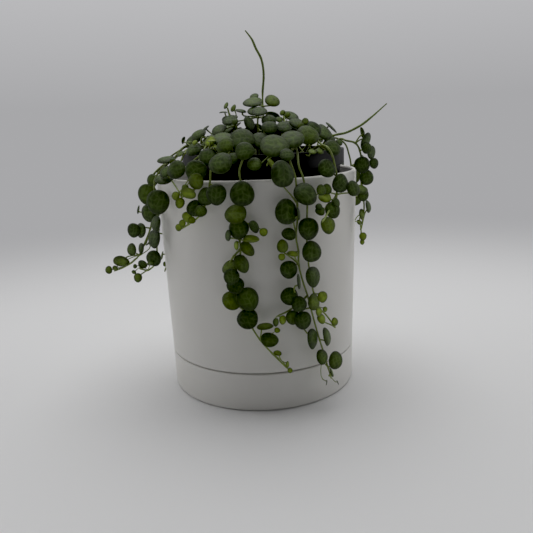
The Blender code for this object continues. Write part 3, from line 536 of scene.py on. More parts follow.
def build_nursery_pot():
    """The thin black pot that the plant grows in, with a rolled lip and fine flutes below it."""
    pots = bpy.context.scene.turtle_pots
    floor_top = NURSERY_BASE + NURSERY_WALL
    lip_base = NURSERY_TOP - LIP_HEIGHT
    rounding = 0.6 * MM
    inner_top = nursery_wall_radius(NURSERY_TOP) - NURSERY_WALL
    profile = [(0, floor_top), (nursery_wall_radius(floor_top) - NURSERY_WALL, floor_top)]
    profile += arc((inner_top + rounding, NURSERY_TOP - rounding), rounding, 180, 90, 4)
    profile += arc((NURSERY_RADIUS - rounding, NURSERY_TOP - rounding), rounding, 90, 0, 5)
    profile += arc((NURSERY_RADIUS - rounding / 2, lip_base + rounding / 2), rounding / 2, 0, -90, 3)
    profile += [(nursery_wall_radius(lip_base), lip_base)]
    fluted_top, fluted_base = lip_base - FLUTE_MARGIN, NURSERY_BASE + 4 * FLUTE_MARGIN
    levels = [fluted_top + (fluted_base - fluted_top) * i / 4 for i in range(5)]
    profile += [(nursery_wall_radius(z), z) for z in levels]
    foot = nursery_wall_radius(NURSERY_BASE) - rounding
    profile += arc((foot, NURSERY_BASE + rounding), rounding, 0, -90, 3)
    profile += [(0, NURSERY_BASE)]
    bm = spun(profile, max(POT_STEPS, pots.flutes * FLUTE_POINTS))
    for vert in bm.verts:
        radius = math.hypot(vert.co.x, vert.co.y)
        on_flutes = fluted_base - WELD < vert.co.z < fluted_top + WELD
        if on_flutes and abs(radius - nursery_wall_radius(vert.co.z)) < WELD:
            wave = 0.5 - 0.5 * math.cos(pots.flutes * math.atan2(vert.co.y, vert.co.x))
            vert.co.xy *= 1 - pots.flute_depth * wave / radius
    bmesh.ops.translate(bm, verts=bm.verts, vec=NURSERY_MIDDLE)
    return finished("nursery_pot_moulded", bm, black_polypropylene(), "black_polypropylene", "nursery_pot")


def soil_height(radius):
    """The potting mix's surface, a low mound."""
    share = radius / soil_side(SOIL_TOP)
    return SOIL_TOP + SOIL_MOUND * (1 - min(share, 1) ** 2)


def soil_side(height):
    """The potting mix's own radius inside the nursery pot."""
    return nursery_wall_radius(height) - NURSERY_WALL - GAP


def build_potting_mix():
    """The potting mix: a lumpy mound that fills the nursery pot."""
    edge = soil_side(SOIL_TOP)
    levels = [edge * i / SOIL_RINGS for i in range(SOIL_RINGS + 1)]
    profile = [(radius, soil_height(radius)) for radius in levels]
    profile += [(soil_side(SOIL_BASE), SOIL_BASE), (0, SOIL_BASE)]
    bm = spun(profile, SOIL_STEPS)
    for vert in bm.verts:
        radius = math.hypot(vert.co.x, vert.co.y)
        if vert.co.z > SOIL_TOP - WELD and radius < edge - WELD:
            lumps = noise.fractal(vert.co * waves_per(7), 0.9, 2, 4)
            vert.co.z += 0.9 * MM * lumps * min(1, (edge - radius) / (3 * MM))
    bmesh.ops.translate(bm, verts=bm.verts, vec=NURSERY_MIDDLE)
    return finished("potting_mix_mound", bm, moist_potting_mix(), "potting_mix", "potting_mix", sharp=80)


def build_crumbs():
    """Crumbs of bark and perlite lying on the potting mix."""
    pots = bpy.context.scene.turtle_pots
    chance = random.Random(7)
    bm = bmesh.new()
    kind_layer = bm.verts.layers.float.new("kind")
    for _ in range(pots.crumbs):
        radius = (soil_side(SOIL_TOP) - 3 * MM) * math.sqrt(chance.random())
        place = NURSERY_MIDDLE + outwards(chance.uniform(0, 360)) * radius
        place.z = soil_height(radius) + chance.uniform(0.1, 0.7) * MM
        size = chance.uniform(0.7, 1.9) * MM
        shape = Matrix.Diagonal((size, size * chance.uniform(0.5, 1), size * chance.uniform(0.35, 0.7), 1))
        turned = Matrix.Rotation(chance.uniform(0, math.pi), 4, "Z") @ Matrix.Rotation(
            chance.uniform(-0.5, 0.5), 4, "X")
        kind = chance.random()
        crumb = bmesh.ops.create_icosphere(
            bm, subdivisions=1, radius=1, matrix=Matrix.Translation(place) @ turned @ shape)
        for vert in crumb["verts"]:
            vert.co += Vector([chance.uniform(-0.2, 0.2) * size for _ in range(3)])
            vert[kind_layer] = kind
    return finished("bark_and_perlite", bm, crumb_mix(), "potting_mix", sharp=30)


# ---- where stems and leaves are ----------------------------------------------------------------


def outwards(turn):
    """The level direction of a turn."""
    angle = math.radians(turn)
    return Vector((math.sin(angle), -math.cos(angle), 0))


def wall(turn, out, drop):
    """A place by the white pot: out from its rim's edge or its wall, and below the rim's top, in mm."""
    height = POT_HEIGHT - drop * MM * (POT_HEIGHT / DRAWN_HEIGHT if drop > 0 else 1)
    share = (POT_HEIGHT - height) / (POT_HEIGHT - SHOULDER)
    radius = max(RIM_RADIUS, RIM_RADIUS + (SEAM_RADIUS - RIM_RADIUS) * share)
    return outwards(turn) * (radius + out * MM) + UP * height


def crown(turn, share, rise):
    """A place over the nursery pot: a share of its radius from its middle, rise in mm above its lip."""
    return NURSERY_MIDDLE + outwards(turn) * share * NURSERY_RADIUS + UP * (NURSERY_TOP + rise * MM)


def root(turn, share):
    """Where a stem leaves the potting mix: two places, so that it starts upright."""
    radius = share * NURSERY_RADIUS
    foot = NURSERY_MIDDLE + outwards(turn) * radius + UP * (soil_height(radius) + GAP)
    return [foot, foot + UP * ROOT_RISE]


class Leaf:
    """A leaf's place, the way it faces before it is tilted, its tip's direction and its length."""

    def __init__(self, centre, out, size, tilt, axis):
        across = UP.cross(out).normalized()
        down = across.cross(out).normalized()
        tip = math.cos(math.radians(axis)) * down + math.sin(math.radians(axis)) * across
        self.centre, self.out, self.tip, self.size = centre, out, tip, size * MM
        self.face = Matrix.Rotation(math.radians(-tilt), 3, tip) @ out


def hung(turn, out, drop, size, tilt=0, axis=0, nod=12, faces=None):
    """A leaf by the white pot. Tilt turns it about its length, axis swings its tip from down to +turn.

    It faces away from the pot, or the way of the turn that is given.
    """
    level = outwards(turn if faces is None else faces)
    facing = level * math.cos(math.radians(nod)) + UP * math.sin(math.radians(nod))
    return Leaf(wall(turn, out, drop), facing, size, tilt, axis)


def topped(turn, share, rise, size, tilt=0, axis=0, nod=None):
    """A leaf of the crown, which faces up over the middle of the pot and outwards past its lip."""
    raised = math.radians(58 - 22 * share**2 if nod is None else nod)
    level = outwards(turn - LIGHT_LEAN * math.sin(math.radians(turn)))
    facing = level * math.cos(raised) + UP * math.sin(raised)
    return Leaf(crown(turn, share, rise), facing, size, tilt, axis)


# ---- stems and leaves --------------------------------------------------------------------------


def smooth_route(places, fineness=1):
    """Points on one smooth curve through the places, a step apart or finer."""
    ends = [places[0] * 2 - places[1]] + list(places) + [places[-1] * 2 - places[-2]]
    route = [places[0]]
    for before, start, end, after in zip(ends, ends[1:], ends[2:], ends[3:]):
        steps = max(1, round((end - start).length / STEM_STEP)) * fineness
        reach = (end - start).length / 3
        leave = start + (end - before).normalized() * reach
        arrive = end - (after - start).normalized() * reach
        route += geometry.interpolate_bezier(start, leave, arrive, end, steps + 1)[1:]
    return [Vector(point) for point in route]


def tubes(name, routes, sides=1):
    """Round tubes as one mesh: each route is its points and their radii."""
    curve = bpy.data.curves.new(name, "CURVE")
    curve.dimensions = "3D"
    curve.bevel_depth = 1
    curve.bevel_resolution = sides
    curve.use_fill_caps = True
    for points, radii in routes:
        spline = curve.splines.new("POLY")
        spline.points.add(len(points) - 1)
        for point, place, radius in zip(spline.points, points, radii):
            point.co = (*place, 1)
            point.radius = radius
    rod = bpy.data.objects.new(name, curve)
    bpy.context.scene.collection.objects.link(rod)
    bpy.context.view_layer.update()
    mesh = bpy.data.meshes.new_from_object(rod.evaluated_get(bpy.context.evaluated_depsgraph_get()))
    bpy.data.objects.remove(rod)
    bpy.data.curves.remove(curve)
    bm = bmesh.new()
    bm.from_mesh(mesh)
    bpy.data.meshes.remove(mesh)
    bmesh.ops.remove_doubles(bm, verts=bm.verts, dist=WELD)
    return bm


def nearest_of(points):
    """A finder of the nearest of some points."""
    finder = kdtree.KDTree(len(points))
    for index, point in enumerate(points):
        finder.insert(point, index)
    finder.balance()
    return finder


def stem_radii(count, most=STEM_DIAMETER):
    """A stem's radii, thinning towards its tip."""
    return [(most + (TIP_DIAMETER - most) * i / (count - 1)) / 2 for i in range(count)]


def leaf_outline(leaf, centre, anchor, swell=0.0, stalk=True):
    """A coarse leaf on its stalk, to find a clear place for the fine one."""
    sides = next(count for shortest, count in LEAF_SIDES if leaf.size >= shortest)
    bm = bmesh.new()
    bmesh.ops.create_uvsphere(bm, u_segments=sides, v_segments=3, radius=1)
    side = leaf.tip.cross(leaf.face)
    half = leaf.size / 2 + swell
    belly = leaf.size * LEAF_BELLY + swell
    dome = leaf.size * LEAF_DOME + swell
    beyond = (anchor - centre).normalized() * TIP_DIAMETER * 0.3
    for vert in bm.verts:
        around = Vector((vert.co.x, vert.co.y, 0)).normalized()
        if vert.co.z > 0.9:
            vert.co = centre + leaf.face * dome
        elif vert.co.z > 0:
            vert.co = centre + (side * around.x * LEAF_NARROWNESS + leaf.tip * around.y) * half
        elif vert.co.z > -0.9:
            thick = STALK_DIAMETER / 2 + swell
            vert.co = centre + (side * around.x + leaf.tip * around.y) * thick - leaf.face * belly
        else:
            vert.co = anchor + beyond if stalk else centre - leaf.face * belly
    tree = BVHTree.FromBMesh(bm)
    bm.free()
    return tree


def settle(leaf, route, near, own_leaves):
    """Lifts a leaf outwards until it clears every other piece, and picks where its stalk joins."""
    joins = sorted(route[1:], key=lambda point: (point - leaf.centre).length)[:5]
    for step in range(PUSH_STEPS):
        centre = leaf.centre + leaf.out * PUSH_STEP * step
        for anchor in joins:
            if (centre - anchor).dot(leaf.face) < LEAF_ABOVE_STEM:
                continue
            whole = leaf_outline(leaf, centre, anchor, LEAF_CLEARANCE)
            if any(whole.overlap(other) for other in near):
                continue
            disc = leaf_outline(leaf, centre, anchor, LEAF_CLEARANCE, stalk=False)
            if any(disc.overlap(other) for other in own_leaves):
                continue
            return centre, anchor
    raise RuntimeError(f"no clear place for a leaf at {tuple(round(c, 4) for c in leaf.centre)}")


class Vine:
    """One plant: its stem's places, its leaves, a letter for each one's shade, and its side stems."""

    def __init__(self, name, places, leaves, shades="", sides=()):
        self.name, self.leaves, self.shades = name, leaves, shades
        self.strands = [places, *sides]
        self.routes = [smooth_route(strand) for strand in self.strands]


def node_tree_of(name):
    """A CAD node's shape, for leaves to keep clear of."""
    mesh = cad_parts[name].data
    return BVHTree.FromPolygons([v.co for v in mesh.vertices], [tuple(p.vertices) for p in mesh.polygons])


@functools.lru_cache(maxsize=None)
def fixed_shapes():
    """What every leaf keeps clear of: the pots, the potting mix and the flower spikes."""
    names = ("outer_pot", "saucer", "nursery_pot", "potting_mix", *SPIKES)
    return [node_tree_of(name) for name in names]


@functools.lru_cache(maxsize=None)
def all_stems():
    """Every vine's coarse stems, so that a leaf clears the vines that are made after its own too."""
    vines = front_vines() + crown_shoots() + back_vines() + back_shoots()
    trees = {}
    for vine in vines:
        trees[vine.name] = []
        for route in vine.routes:
            bm = tubes(vine.name, [(route, stem_radii(len(route)))])
            trees[vine.name].append(BVHTree.FromBMesh(bm))
            bm.free()
    return trees


GROWN = {}


def grow(vines):
    """Settles the leaves vine by vine, and makes each vine's stem and leaves."""
    for vine in vines:
        near = list(fixed_shapes())
        for shapes in (GROWN, all_stems()):
            near += [tree for name, trees in shapes.items() if name != vine.name for tree in trees]
        own, own_blades, settled = [], [], []
        route = [point for route in vine.routes for point in route]
        for leaf in vine.leaves:
            centre, anchor = settle(leaf, route, near, own_blades)
            own.append(leaf_outline(leaf, centre, anchor))
            own_blades.append(leaf_outline(leaf, centre, anchor, stalk=False))
            settled.append((leaf, centre, anchor))
        GROWN[vine.name] = own
        make_leaves(vine, settled)
        make_stem(vine, settled)


# Dark, grey-green, mid green, olive, pale and lime, from the oldest leaves to the youngest.
SHADE_LETTERS = {"d": 0.0, "g": 0.2, "m": 0.42, "o": 0.62, "p": 0.72, "l": 0.88}


def shade_of(vine, index, leaf):
    """How young a leaf looks, 0 to 1: as its letter says, or by its length."""
    if vine.shades:
        return SHADE_LETTERS[vine.shades[index]]
    return min(1, max(0.05, 1.05 - leaf.size / (11 * MM)))


def tip_and_hold(leaf, centre, anchor):
    """The direction of the blade's tip, away from its stalk, and where the stalk meets its back."""
    tip = leaf.tip if (anchor - centre).dot(leaf.tip) <= 0 else -leaf.tip
    hold = centre - tip * leaf.size * 0.2 - leaf.face * leaf.size * LEAF_BELLY * 0.7
    return tip, hold


def add_blade(bm, leaf, centre, anchor, shade, chance):
    """A round succulent blade: domed, thick in the middle, with a soft tip and its rim rolled under."""
    uv = bm.loops.layers.uv["blade"]
    shades, undersides = bm.verts.layers.float["shade"], bm.verts.layers.float["underside"]
    tip, _ = tip_and_hold(leaf, centre, anchor)
    side = tip.cross(leaf.face)
    curl, fold, bend = chance.uniform(0.02, 0.07), chance.uniform(0.0, 0.03), chance.uniform(-0.03, 0.05)
    skew = chance.uniform(-0.05, 0.05)
    verts = bmesh.ops.create_uvsphere(
        bm, u_segments=BLADE_SIDES, v_segments=BLADE_LEVELS, radius=1)["verts"]
    for vert in verts:
        x, y, z = vert.co
        vert[shades], vert[undersides] = shade, 1.0 if z < -0.3 else 0.0
        spread = x * x + y * y
        across = x * LEAF_NARROWNESS * (1 - 0.07 * y) + skew * y * y
        along = y + 0.07 * max(0, y) ** 6 * (1 - abs(x))
        along += 0.07 * max(0, -y) ** 4 * math.exp(-((x / 0.35) ** 2))
        thick = LEAF_DOME * 0.8 if z > 0 else LEAF_BELLY
        lift = math.copysign(abs(z) ** 0.75, z) * thick + 0.03
        lift += fold * abs(x) - curl * spread * spread - bend * y * y
        level = centre + (side * across + tip * along) * leaf.size * BLADE_SPREAD
        vert.co = level + leaf.face * lift * leaf.size
        for loop in vert.link_loops:
            loop[uv].uv = (0.5 + x / 2, 0.5 + y / 2)


def make_leaves(vine, settled):
    """All the leaves of one vine."""
    chance = random.Random(vine.name)
    bm = bmesh.new()
    bm.loops.layers.uv.new("blade")
    for name in ("shade", "underside"):
        bm.verts.layers.float.new(name)
    for index, (leaf, centre, anchor) in enumerate(settled):
        shade = shade_of(vine, index, leaf) + chance.uniform(-0.05, 0.05)
        add_blade(bm, leaf, centre, anchor, min(1, max(0, shade)), chance)
    leaves = finished(
        f"{vine.name}_leaves", bm, succulent_leaf(), "succulent_leaf_green", vine.name, sharp=180
    )
    smooth = leaves.modifiers.new("smooth", "SUBSURF")
    smooth.levels = smooth.render_levels = 2


def mark_tipwards(bm, points, ages):
    """Notes on each corner of a stem how near the tip it is, from the nearest of its guide points."""
    layer = bm.verts.layers.float.new("tipwards")
    along = nearest_of(points)
    for vert in bm.verts:
        vert[layer] = ages[along.find(vert.co)[1]]


def make_stem(vine, settled):
    """A vine's stem, swollen a little at its nodes, with its side stems and every leaf's arched stalk."""
    plant = bpy.context.scene.turtle_plant
    nodes = nearest_of([anchor for _, _, anchor in settled])
    routes, guide = [], []
    for places in vine.strands:
        points = smooth_route(places, STEM_FINENESS)
        radii = stem_radii(len(points), plant.stem)
        for index, point in enumerate(points):
            _, _, distance = nodes.find(point)
            radii[index] *= 1 + plant.node_swelling * math.exp(-((distance / NODE_REACH) ** 2))
        radii[-1] *= 0.5
        routes.append((points, radii))
        guide += [(point, index / len(points)) for index, point in enumerate(points)]
    for leaf, centre, anchor in settled:
        _, hold = tip_and_hold(leaf, centre, anchor)
        reach = (hold - anchor).length
        leave = anchor + (hold - anchor) * 0.3 + UP * reach * 0.08
        arrive = hold - leaf.face * reach * 0.35
        points = geometry.interpolate_bezier(anchor, leave, arrive, hold, STALK_POINTS)
        thin = min(plant.stalk, leaf.size * 0.13) / 2
        shares = [i / (STALK_POINTS - 1) for i in range(STALK_POINTS)]
        radii = [thin * (1.25 - 0.35 * math.sin(math.pi * share)) for share in shares]
        routes.append(([Vector(point) for point in points], radii))
        guide += [(Vector(point), 0.55 + 0.45 * (1 - leaf.size / (16 * MM))) for point in points[2:]]
    bm = tubes(f"{vine.name}_stem", routes, sides=2)
    mark_tipwards(bm, *zip(*guide))
    look = succulent_stem("succulent_stem", tuple(plant.old_stem), tuple(plant.young_stem))
    finished(f"{vine.name}_stem", bm, look, "succulent_leaf_green", vine.name, sharp=180)


# ---- flower spikes -----------------------------------------------------------------------------

# Each spike: where it leaves the soil, its places as mm from the nursery pot's middle and above its lip,
# and how many of the places belong to its stalk.
SPIKES = {
    "upright_flower_spike": (
        (20, 0.1),
        [
            (1, -4, 17), (1, -4, 32), (2, -6, 43), (1, -8, 51), (-2, -10, 57), (-4, -12, 61.5),
            (-7.5, -14, 66),
        ],
        3,
    ),
    "side_flower_spike": (
        (48, 0.55),
        [
            (26, -25, 3.5), (33, -26, 6), (41, -24, 8), (47, -23, 9), (55, -22, 12.5), (61, -21, 16.5),
            (70.5, -19, 24),
        ],
        3,
    ),
}
SPIKE_STALK = 0.75


def build_spikes():
    """Both flower spikes."""
    for name in SPIKES:
        build_spike(name)


def build_spike(name):
    """A slender flower spike, grainy with tiny packed flowers, on its smooth paler stalk."""
    plant = bpy.context.scene.turtle_plant
    foot, places, stalk_places = SPIKES[name]
    lip = NURSERY_MIDDLE + UP * NURSERY_TOP
    route = root(*foot) + [lip + Vector(place) * MM for place in places]
    points = smooth_route(route, SPIKE_FINENESS)
    chance = random.Random(name)
    stalk_end = (route[stalk_places] - points[0]).length
    radii, tipwards = [], []
    for index, point in enumerate(points):
        past = (point - points[0]).length - stalk_end
        flowering = min(1, max(0, 0.5 + past / (3 * MM)))
        width = SPIKE_STALK + (1 - SPIKE_STALK) * flowering
        width *= 1 + flowering * chance.uniform(-0.09, 0.09)
        width *= min(1, 0.45 + (len(points) - 1 - index) / (2.5 * SPIKE_FINENESS))
        radii.append(SPIKE_DIAMETER / 2 * width)
        tipwards.append(1 - flowering)
    bm = tubes(name, [(points, radii)], sides=4)
    mark_tipwards(bm, points, tipwards)
    look = succulent_stem("flower_spike", tuple(plant.spike), tuple(plant.spike_stalk))
    return finished(f"{name}_grown", bm, look, "flower_spike_olive", name, sharp=180)


# ---- the vines in front, each as it grows --------------------------------------------------------


def many(make, *rows):
    """What one function makes of each row."""
    return [make(*row) for row in rows]


def front_vines():
    """Each vine: its name, its stem's places, its leaves, their shades, and its side stems' places."""
    return [
        Vine(
            "left_outer_vine",
            root(-78, 0.72) + many(crown, (-78, 0.94, 4), (-78, 1.1, -2))
            + many(wall, (-78, 1.5, -1), (-78, 3, 9), (-78.5, 3.5, 18), (-79, 4.5, 24), (-79.5, 6, 31),
                (-80, 10, 39.5), (-80.5, 14, 47), (-81, 19, 51.5), (-82, 24.5, 54.5), (-82.5, 30, 56.5)),
            many(hung, (-63, -6, -6, 11, 20, 60, 60), (-73, 3, 1.5, 7.5, 50, 0, 30), (-77, 6, 10, 13, 60),
                (-70, 7, 20, 11, 45, 0, 5), (-80.5, 12, 19.5, 5.5, -10), (-78.5, 11.5, 31.5, 9.5, 35),
                (-79, 7.5, 33, 9.2, 60), (-79, 6.5, 40, 4.6, 40, 90), (-80.5, 12.5, 43, 7.4, 25),
                (-81, 18, 43.5, 8.2, 45), (-82, 25, 50.5, 10.5, 50, -72, 12, -20),
                (-82.5, 33, 55.5, 5.2, 0, -80, 12, -20), (-82, 29, 54.5, 3.8, 30, -60, 12, -20)),
            "gmmgdgddgmooo",
        ),
        Vine(
            "left_inner_vine",
            root(-66, 0.75) + many(crown, (-66, 0.95, 5), (-67, 1.12, -1))
            + many(wall, (-68, 2, 0), (-69, 3, 12), (-69.5, 3, 24), (-70, 3.5, 33), (-70.5, 4, 41),
                (-71.5, 4.5, 49), (-74.5, 9.5, 55), (-76, 14.5, 54)),
            many(hung, (-51, 4, -1, 11.5, 35, 60, 35), (-56, 6, 12, 14.5, 40), (-62, 6, 25, 10, 12),
                (-66, 6, 34.5, 11.5, 22), (-70, 6.5, 47, 10.2, 25, -25, 12, -40),
                (-75.5, 12.5, 51.5, 6.2, 60, 40, 12, -20), (-76.5, 17, 52.5, 2.9, 0, -40, 12, -20),
                (-76.5, 18, 56, 3, 30, -70, 12, -20), (-76, 15, 59.5, 6, 0, 0, 12, -20),
                (-71.5, 5.5, 50.5, 4.5, 60, 75, 12, -20)),
            "ggddddmmom",
        ),
        Vine(
            "left_rim_shoot",
            root(-45, 0.7) + many(crown, (-42, 0.93, 5), (-37, 1.12, 1))
            + many(wall, (-31, 1.5, -5), (-28, 3, -1), (-29, 5, 3), (-32, 6, 6), (-36, 7, 8)),
            many(hung, (-42, 3, -6, 11, 20, -70, 45, -25), (-29, 4, -5.5, 12, 25, -65, 30, -20),
                (-28, 6, -0.5, 9, 20, -90, 20, -20), (-34, 6.5, 3, 4.2, 0, 0, 12, -20),
                (-38.5, 7, 7.5, 5, 0, 0, 12, -20), (-31.5, 7.5, 5.5, 8.5, 50, -82, 12, -20),
                (-35.5, 7.5, 11, 6, 60, -12, 12, -20), (-49, 4, -4.5, 8, 20, 40, 30)),
            "ggoolllg",
        ),
        Vine(
            "left_front_vine",
            root(-30, 0.62) + many(crown, (-27, 0.9, 5), (-25, 1.1, 1))
            + many(wall, (-22, 1.5, -6), (-22.5, 3, 1), (-24.5, 4, 9.5), (-28, 5, 17.5),
                (-34.5, 5.5, 22.5), (-39.5, 6, 25.5)),
            many(hung, (-18, 7, 6, 11.5, 0, 0, 12, -15), (-24, 5, 7.5, 10, 0, 10, 12, -20),
                (-29, 7, 13.5, 9.2, 35, -15, 12, -20), (-25.5, 8, 14.5, 6.8, 30, 30, 12, -20),
                (-33, 8, 18, 6, 15, -60, 12, -20), (-30.5, 8, 19.5, 4.2, 40, 20, 12, -20),
                (-36, 8, 21.5, 4.2, 0, -30, 12, -20), (-38.5, 8, 24, 4.2, 0, -60, 12, -20)),
            "dgdmllll",
        ),
        Vine(
            "front_left_vine",
            root(-14, 0.62) + many(crown, (-13, 0.88, 5), (-11, 1.08, 2))
            + many(wall, (-6.5, 1, -10), (-8, 2, -5), (-7.5, 3, 0.5), (-8, 4, 10), (-8.5, 4, 20),
                (-9, 4, 30), (-9, 4, 37), (-11.5, 4, 45), (-11, 5, 57), (-7.5, 5, 69), (-5, 4, 78),
                (-1.5, 4, 85), (4, 4, 93), (11.5, 4, 103)),
            many(hung, (-6.5, 7, 6, 13.5, 20), (-9.5, 8, 16, 12, 25, 90), (-8.5, 8, 23.5, 11),
                (-13, 8, 27, 6.2, -45), (-2, 8, 22.5, 7.3, 50, 25), (-3.5, 8, 29, 8.8, 62, 85),
                (2, 8, 25.5, 4.6), (-10, 8, 32, 5.2, -50), (-5.5, 8, 34, 9.5, 55, 40),
                (-8, 8, 41.5, 10.8, 55, 27), (-13.5, 7, 44, 9.5, -30, -70), (-12, 8, 48.5, 9),
                (-11, 9, 53, 9.8, 20, 60), (-13, 8, 61.5, 11.5, 35, 55), (-6, 8, 60.5, 13.5, 35, 30),
                (-6.5, 8, 71.5, 12, 20, 90), (1, 6, 77, 9.5, 75, 93), (6.5, 7, 79, 3.4, 30, 90),
                (2.8, 7, 84, 10.2, 45, 80), (6.5, 6, 92.5, 4.8, 60, 80), (11, 6, 99.5, 4, 50),
                (12, 6, 103, 3.2, 20, 60)),
            "dogddlllomoddomdolmlll",
            [many(wall, (-9, 4, 35), (-12, 5, 38.5), (-14, 6, 42))],
        ),
        Vine(
            "front_centre_vine",
            root(8, 0.62) + many(crown, (11, 0.88, 6), (13.5, 1.08, 3))
            + many(wall, (16, 2, -9), (17, 3, -5), (18, 4, 0), (18.5, 4, 13), (18.5, 4, 20), (17.5, 4, 30),
                (18.5, 4, 38), (18.5, 4, 45), (20.5, 4, 55), (22.5, 4.5, 62.5), (25.5, 5, 77),
                (28.5, 5, 89), (30.5, 5, 96), (33.5, 5, 107), (35.5, 5, 114)),
            many(hung, (11, 7, -3, 14.5, 20), (12, 8, 16, 14, 15), (17, 8, 17.5, 7, 60),
                (13, 8, 27.5, 8, 30, 90), (10, 8, 33.5, 7.4, 20), (9.5, 8, 39, 4),
                (14.5, 8, 38, 6.2, 60, 85), (12.5, 8, 46, 10), (16, 8, 53, 8.6, 62),
                (12.5, 8, 60.5, 10.2, 10, 90), (16, 9, 65, 9), (13.5, 9, 72, 8.2), (17.5, 9, 74, 10.3),
                (9, 8, 73, 5.3, 30), (5.5, 8, 73.5, 4.8, 40), (23, 8, 86, 11.8, 35),
                (31, 8, 87, 10.8, 35, 10), (28, 8, 98, 9, 15, 30), (36, 8, 102.5, 10.8),
                (31, 8, 107.5, 5.8, 50, 15), (34.5, 7, 110.5, 3.6, 40, 40), (31, 7, 114.5, 3.4, 50, -20),
                (36.5, 6, 116.5, 3, 50, 20)),
            "ddddollddddmdlmgmmmmmmm",
            [many(wall, (22.5, 4.5, 62.5), (17, 6, 66), (12, 6.5, 69), (7, 7, 71))],
        ),
        Vine(
            "front_right_vine",
            root(20, 0.66) + many(crown, (18.5, 0.92, 5), (18.5, 1.1, 2))
            + many(wall, (20.5, 2, -6), (22, 3.5, 0), (23.5, 4, 12), (23, 4, 26), (23, 4.5, 40),
                (24, 5, 52), (25.5, 5.5, 62), (28, 6, 70), (31.5, 7, 75), (36, 8, 83)),
            many(hung, (21, 8, 7.5, 13.5, 20, 90), (28.5, 8, 6.5, 6.2), (22, 8, 25.5, 12.4),
                (23.5, 8, 38, 12), (24, 8, 51.5, 11.8, 20), (23.5, 8, 65.5, 9.6, 20), (28.5, 8, 63.5, 6.6),
                (29.5, 9, 70.5, 3.2), (27.5, 9, 75.5, 6, 20, 60), (34.5, 9, 79, 5), (25.5, 9, 71, 5.5, 20)),
            "dmdggolllll",
        ),
        Vine(
            "right_front_vine",
            root(38, 0.66) + many(crown, (37, 0.92, 6), (35, 1.12, 3.5))
            + many(wall, (36, 4, -14), (38, 5, -9), (38.5, 6, -4), (40, 6, 1.5), (38.5, 7, 10),
                (37, 8, 13), (32, 10, 16.5), (28.5, 13, 19), (25, 16, 21.5)),
            many(hung, (34, 5, -4, 10.5, 10, -60, 30, 15), (41, 5, 5.5, 10.5, 20, -60, 20, 15),
                (32.5, 7, 6.5, 6, 0, 0, 12, 15), (31.5, 7, 10.5, 7.4, 30, 90, 12, 15),
                (36, 8, 14, 5, 20, 30, 12, 15), (34, 8, 17.5, 9.5, 10, 20, 12, 15),
                (30, 11, 24.5, 9.6, 25, 10, 12, 5), (27.5, 9, 17, 5.6, 20, 80, 12, 10),
                (48, 4.5, 9.5, 9, 10, 10, 15, 20), (26.5, 10, 14.5, 4, 20, 90, 12, 10)),
            "ddmlggomgd",
        ),
        Vine(
            "right_vine",
            root(72, 0.72) + many(crown, (72, 0.95, 5))
            + many(wall, (67, -4, -16.5), (68.5, 0.5, -15), (69, 3, -11), (70, 4, -3), (70, 4, 9),
                (70.5, 5.5, 20), (70, 5, 29), (69, 4, 35)),
            many(hung, (69.5, 3, -20.5, 6.4, -30, 180), (69.5, 4.5, -15.5, 10.5, -35, 60),
                (67, 4, -11.5, 7, -45), (71.5, 9, -9.5, 8.2, -30, 20), (67, 5, -3, 10, -55),
                (71.5, 9, -3, 6.5, -50), (70, 7, 4.5, 9.6, -50), (63, 5, 10.5, 9.8, -60, -60),
                (66, 6, 14, 7.5, -50), (71, 8, 21.5, 8, -10), (67, 5, 25, 6, -20), (66, 6, 38, 5, -50),
                (66, 5, 41.5, 3.4, -40)),
            "ggggddgmmmoll",
        ),
    ]


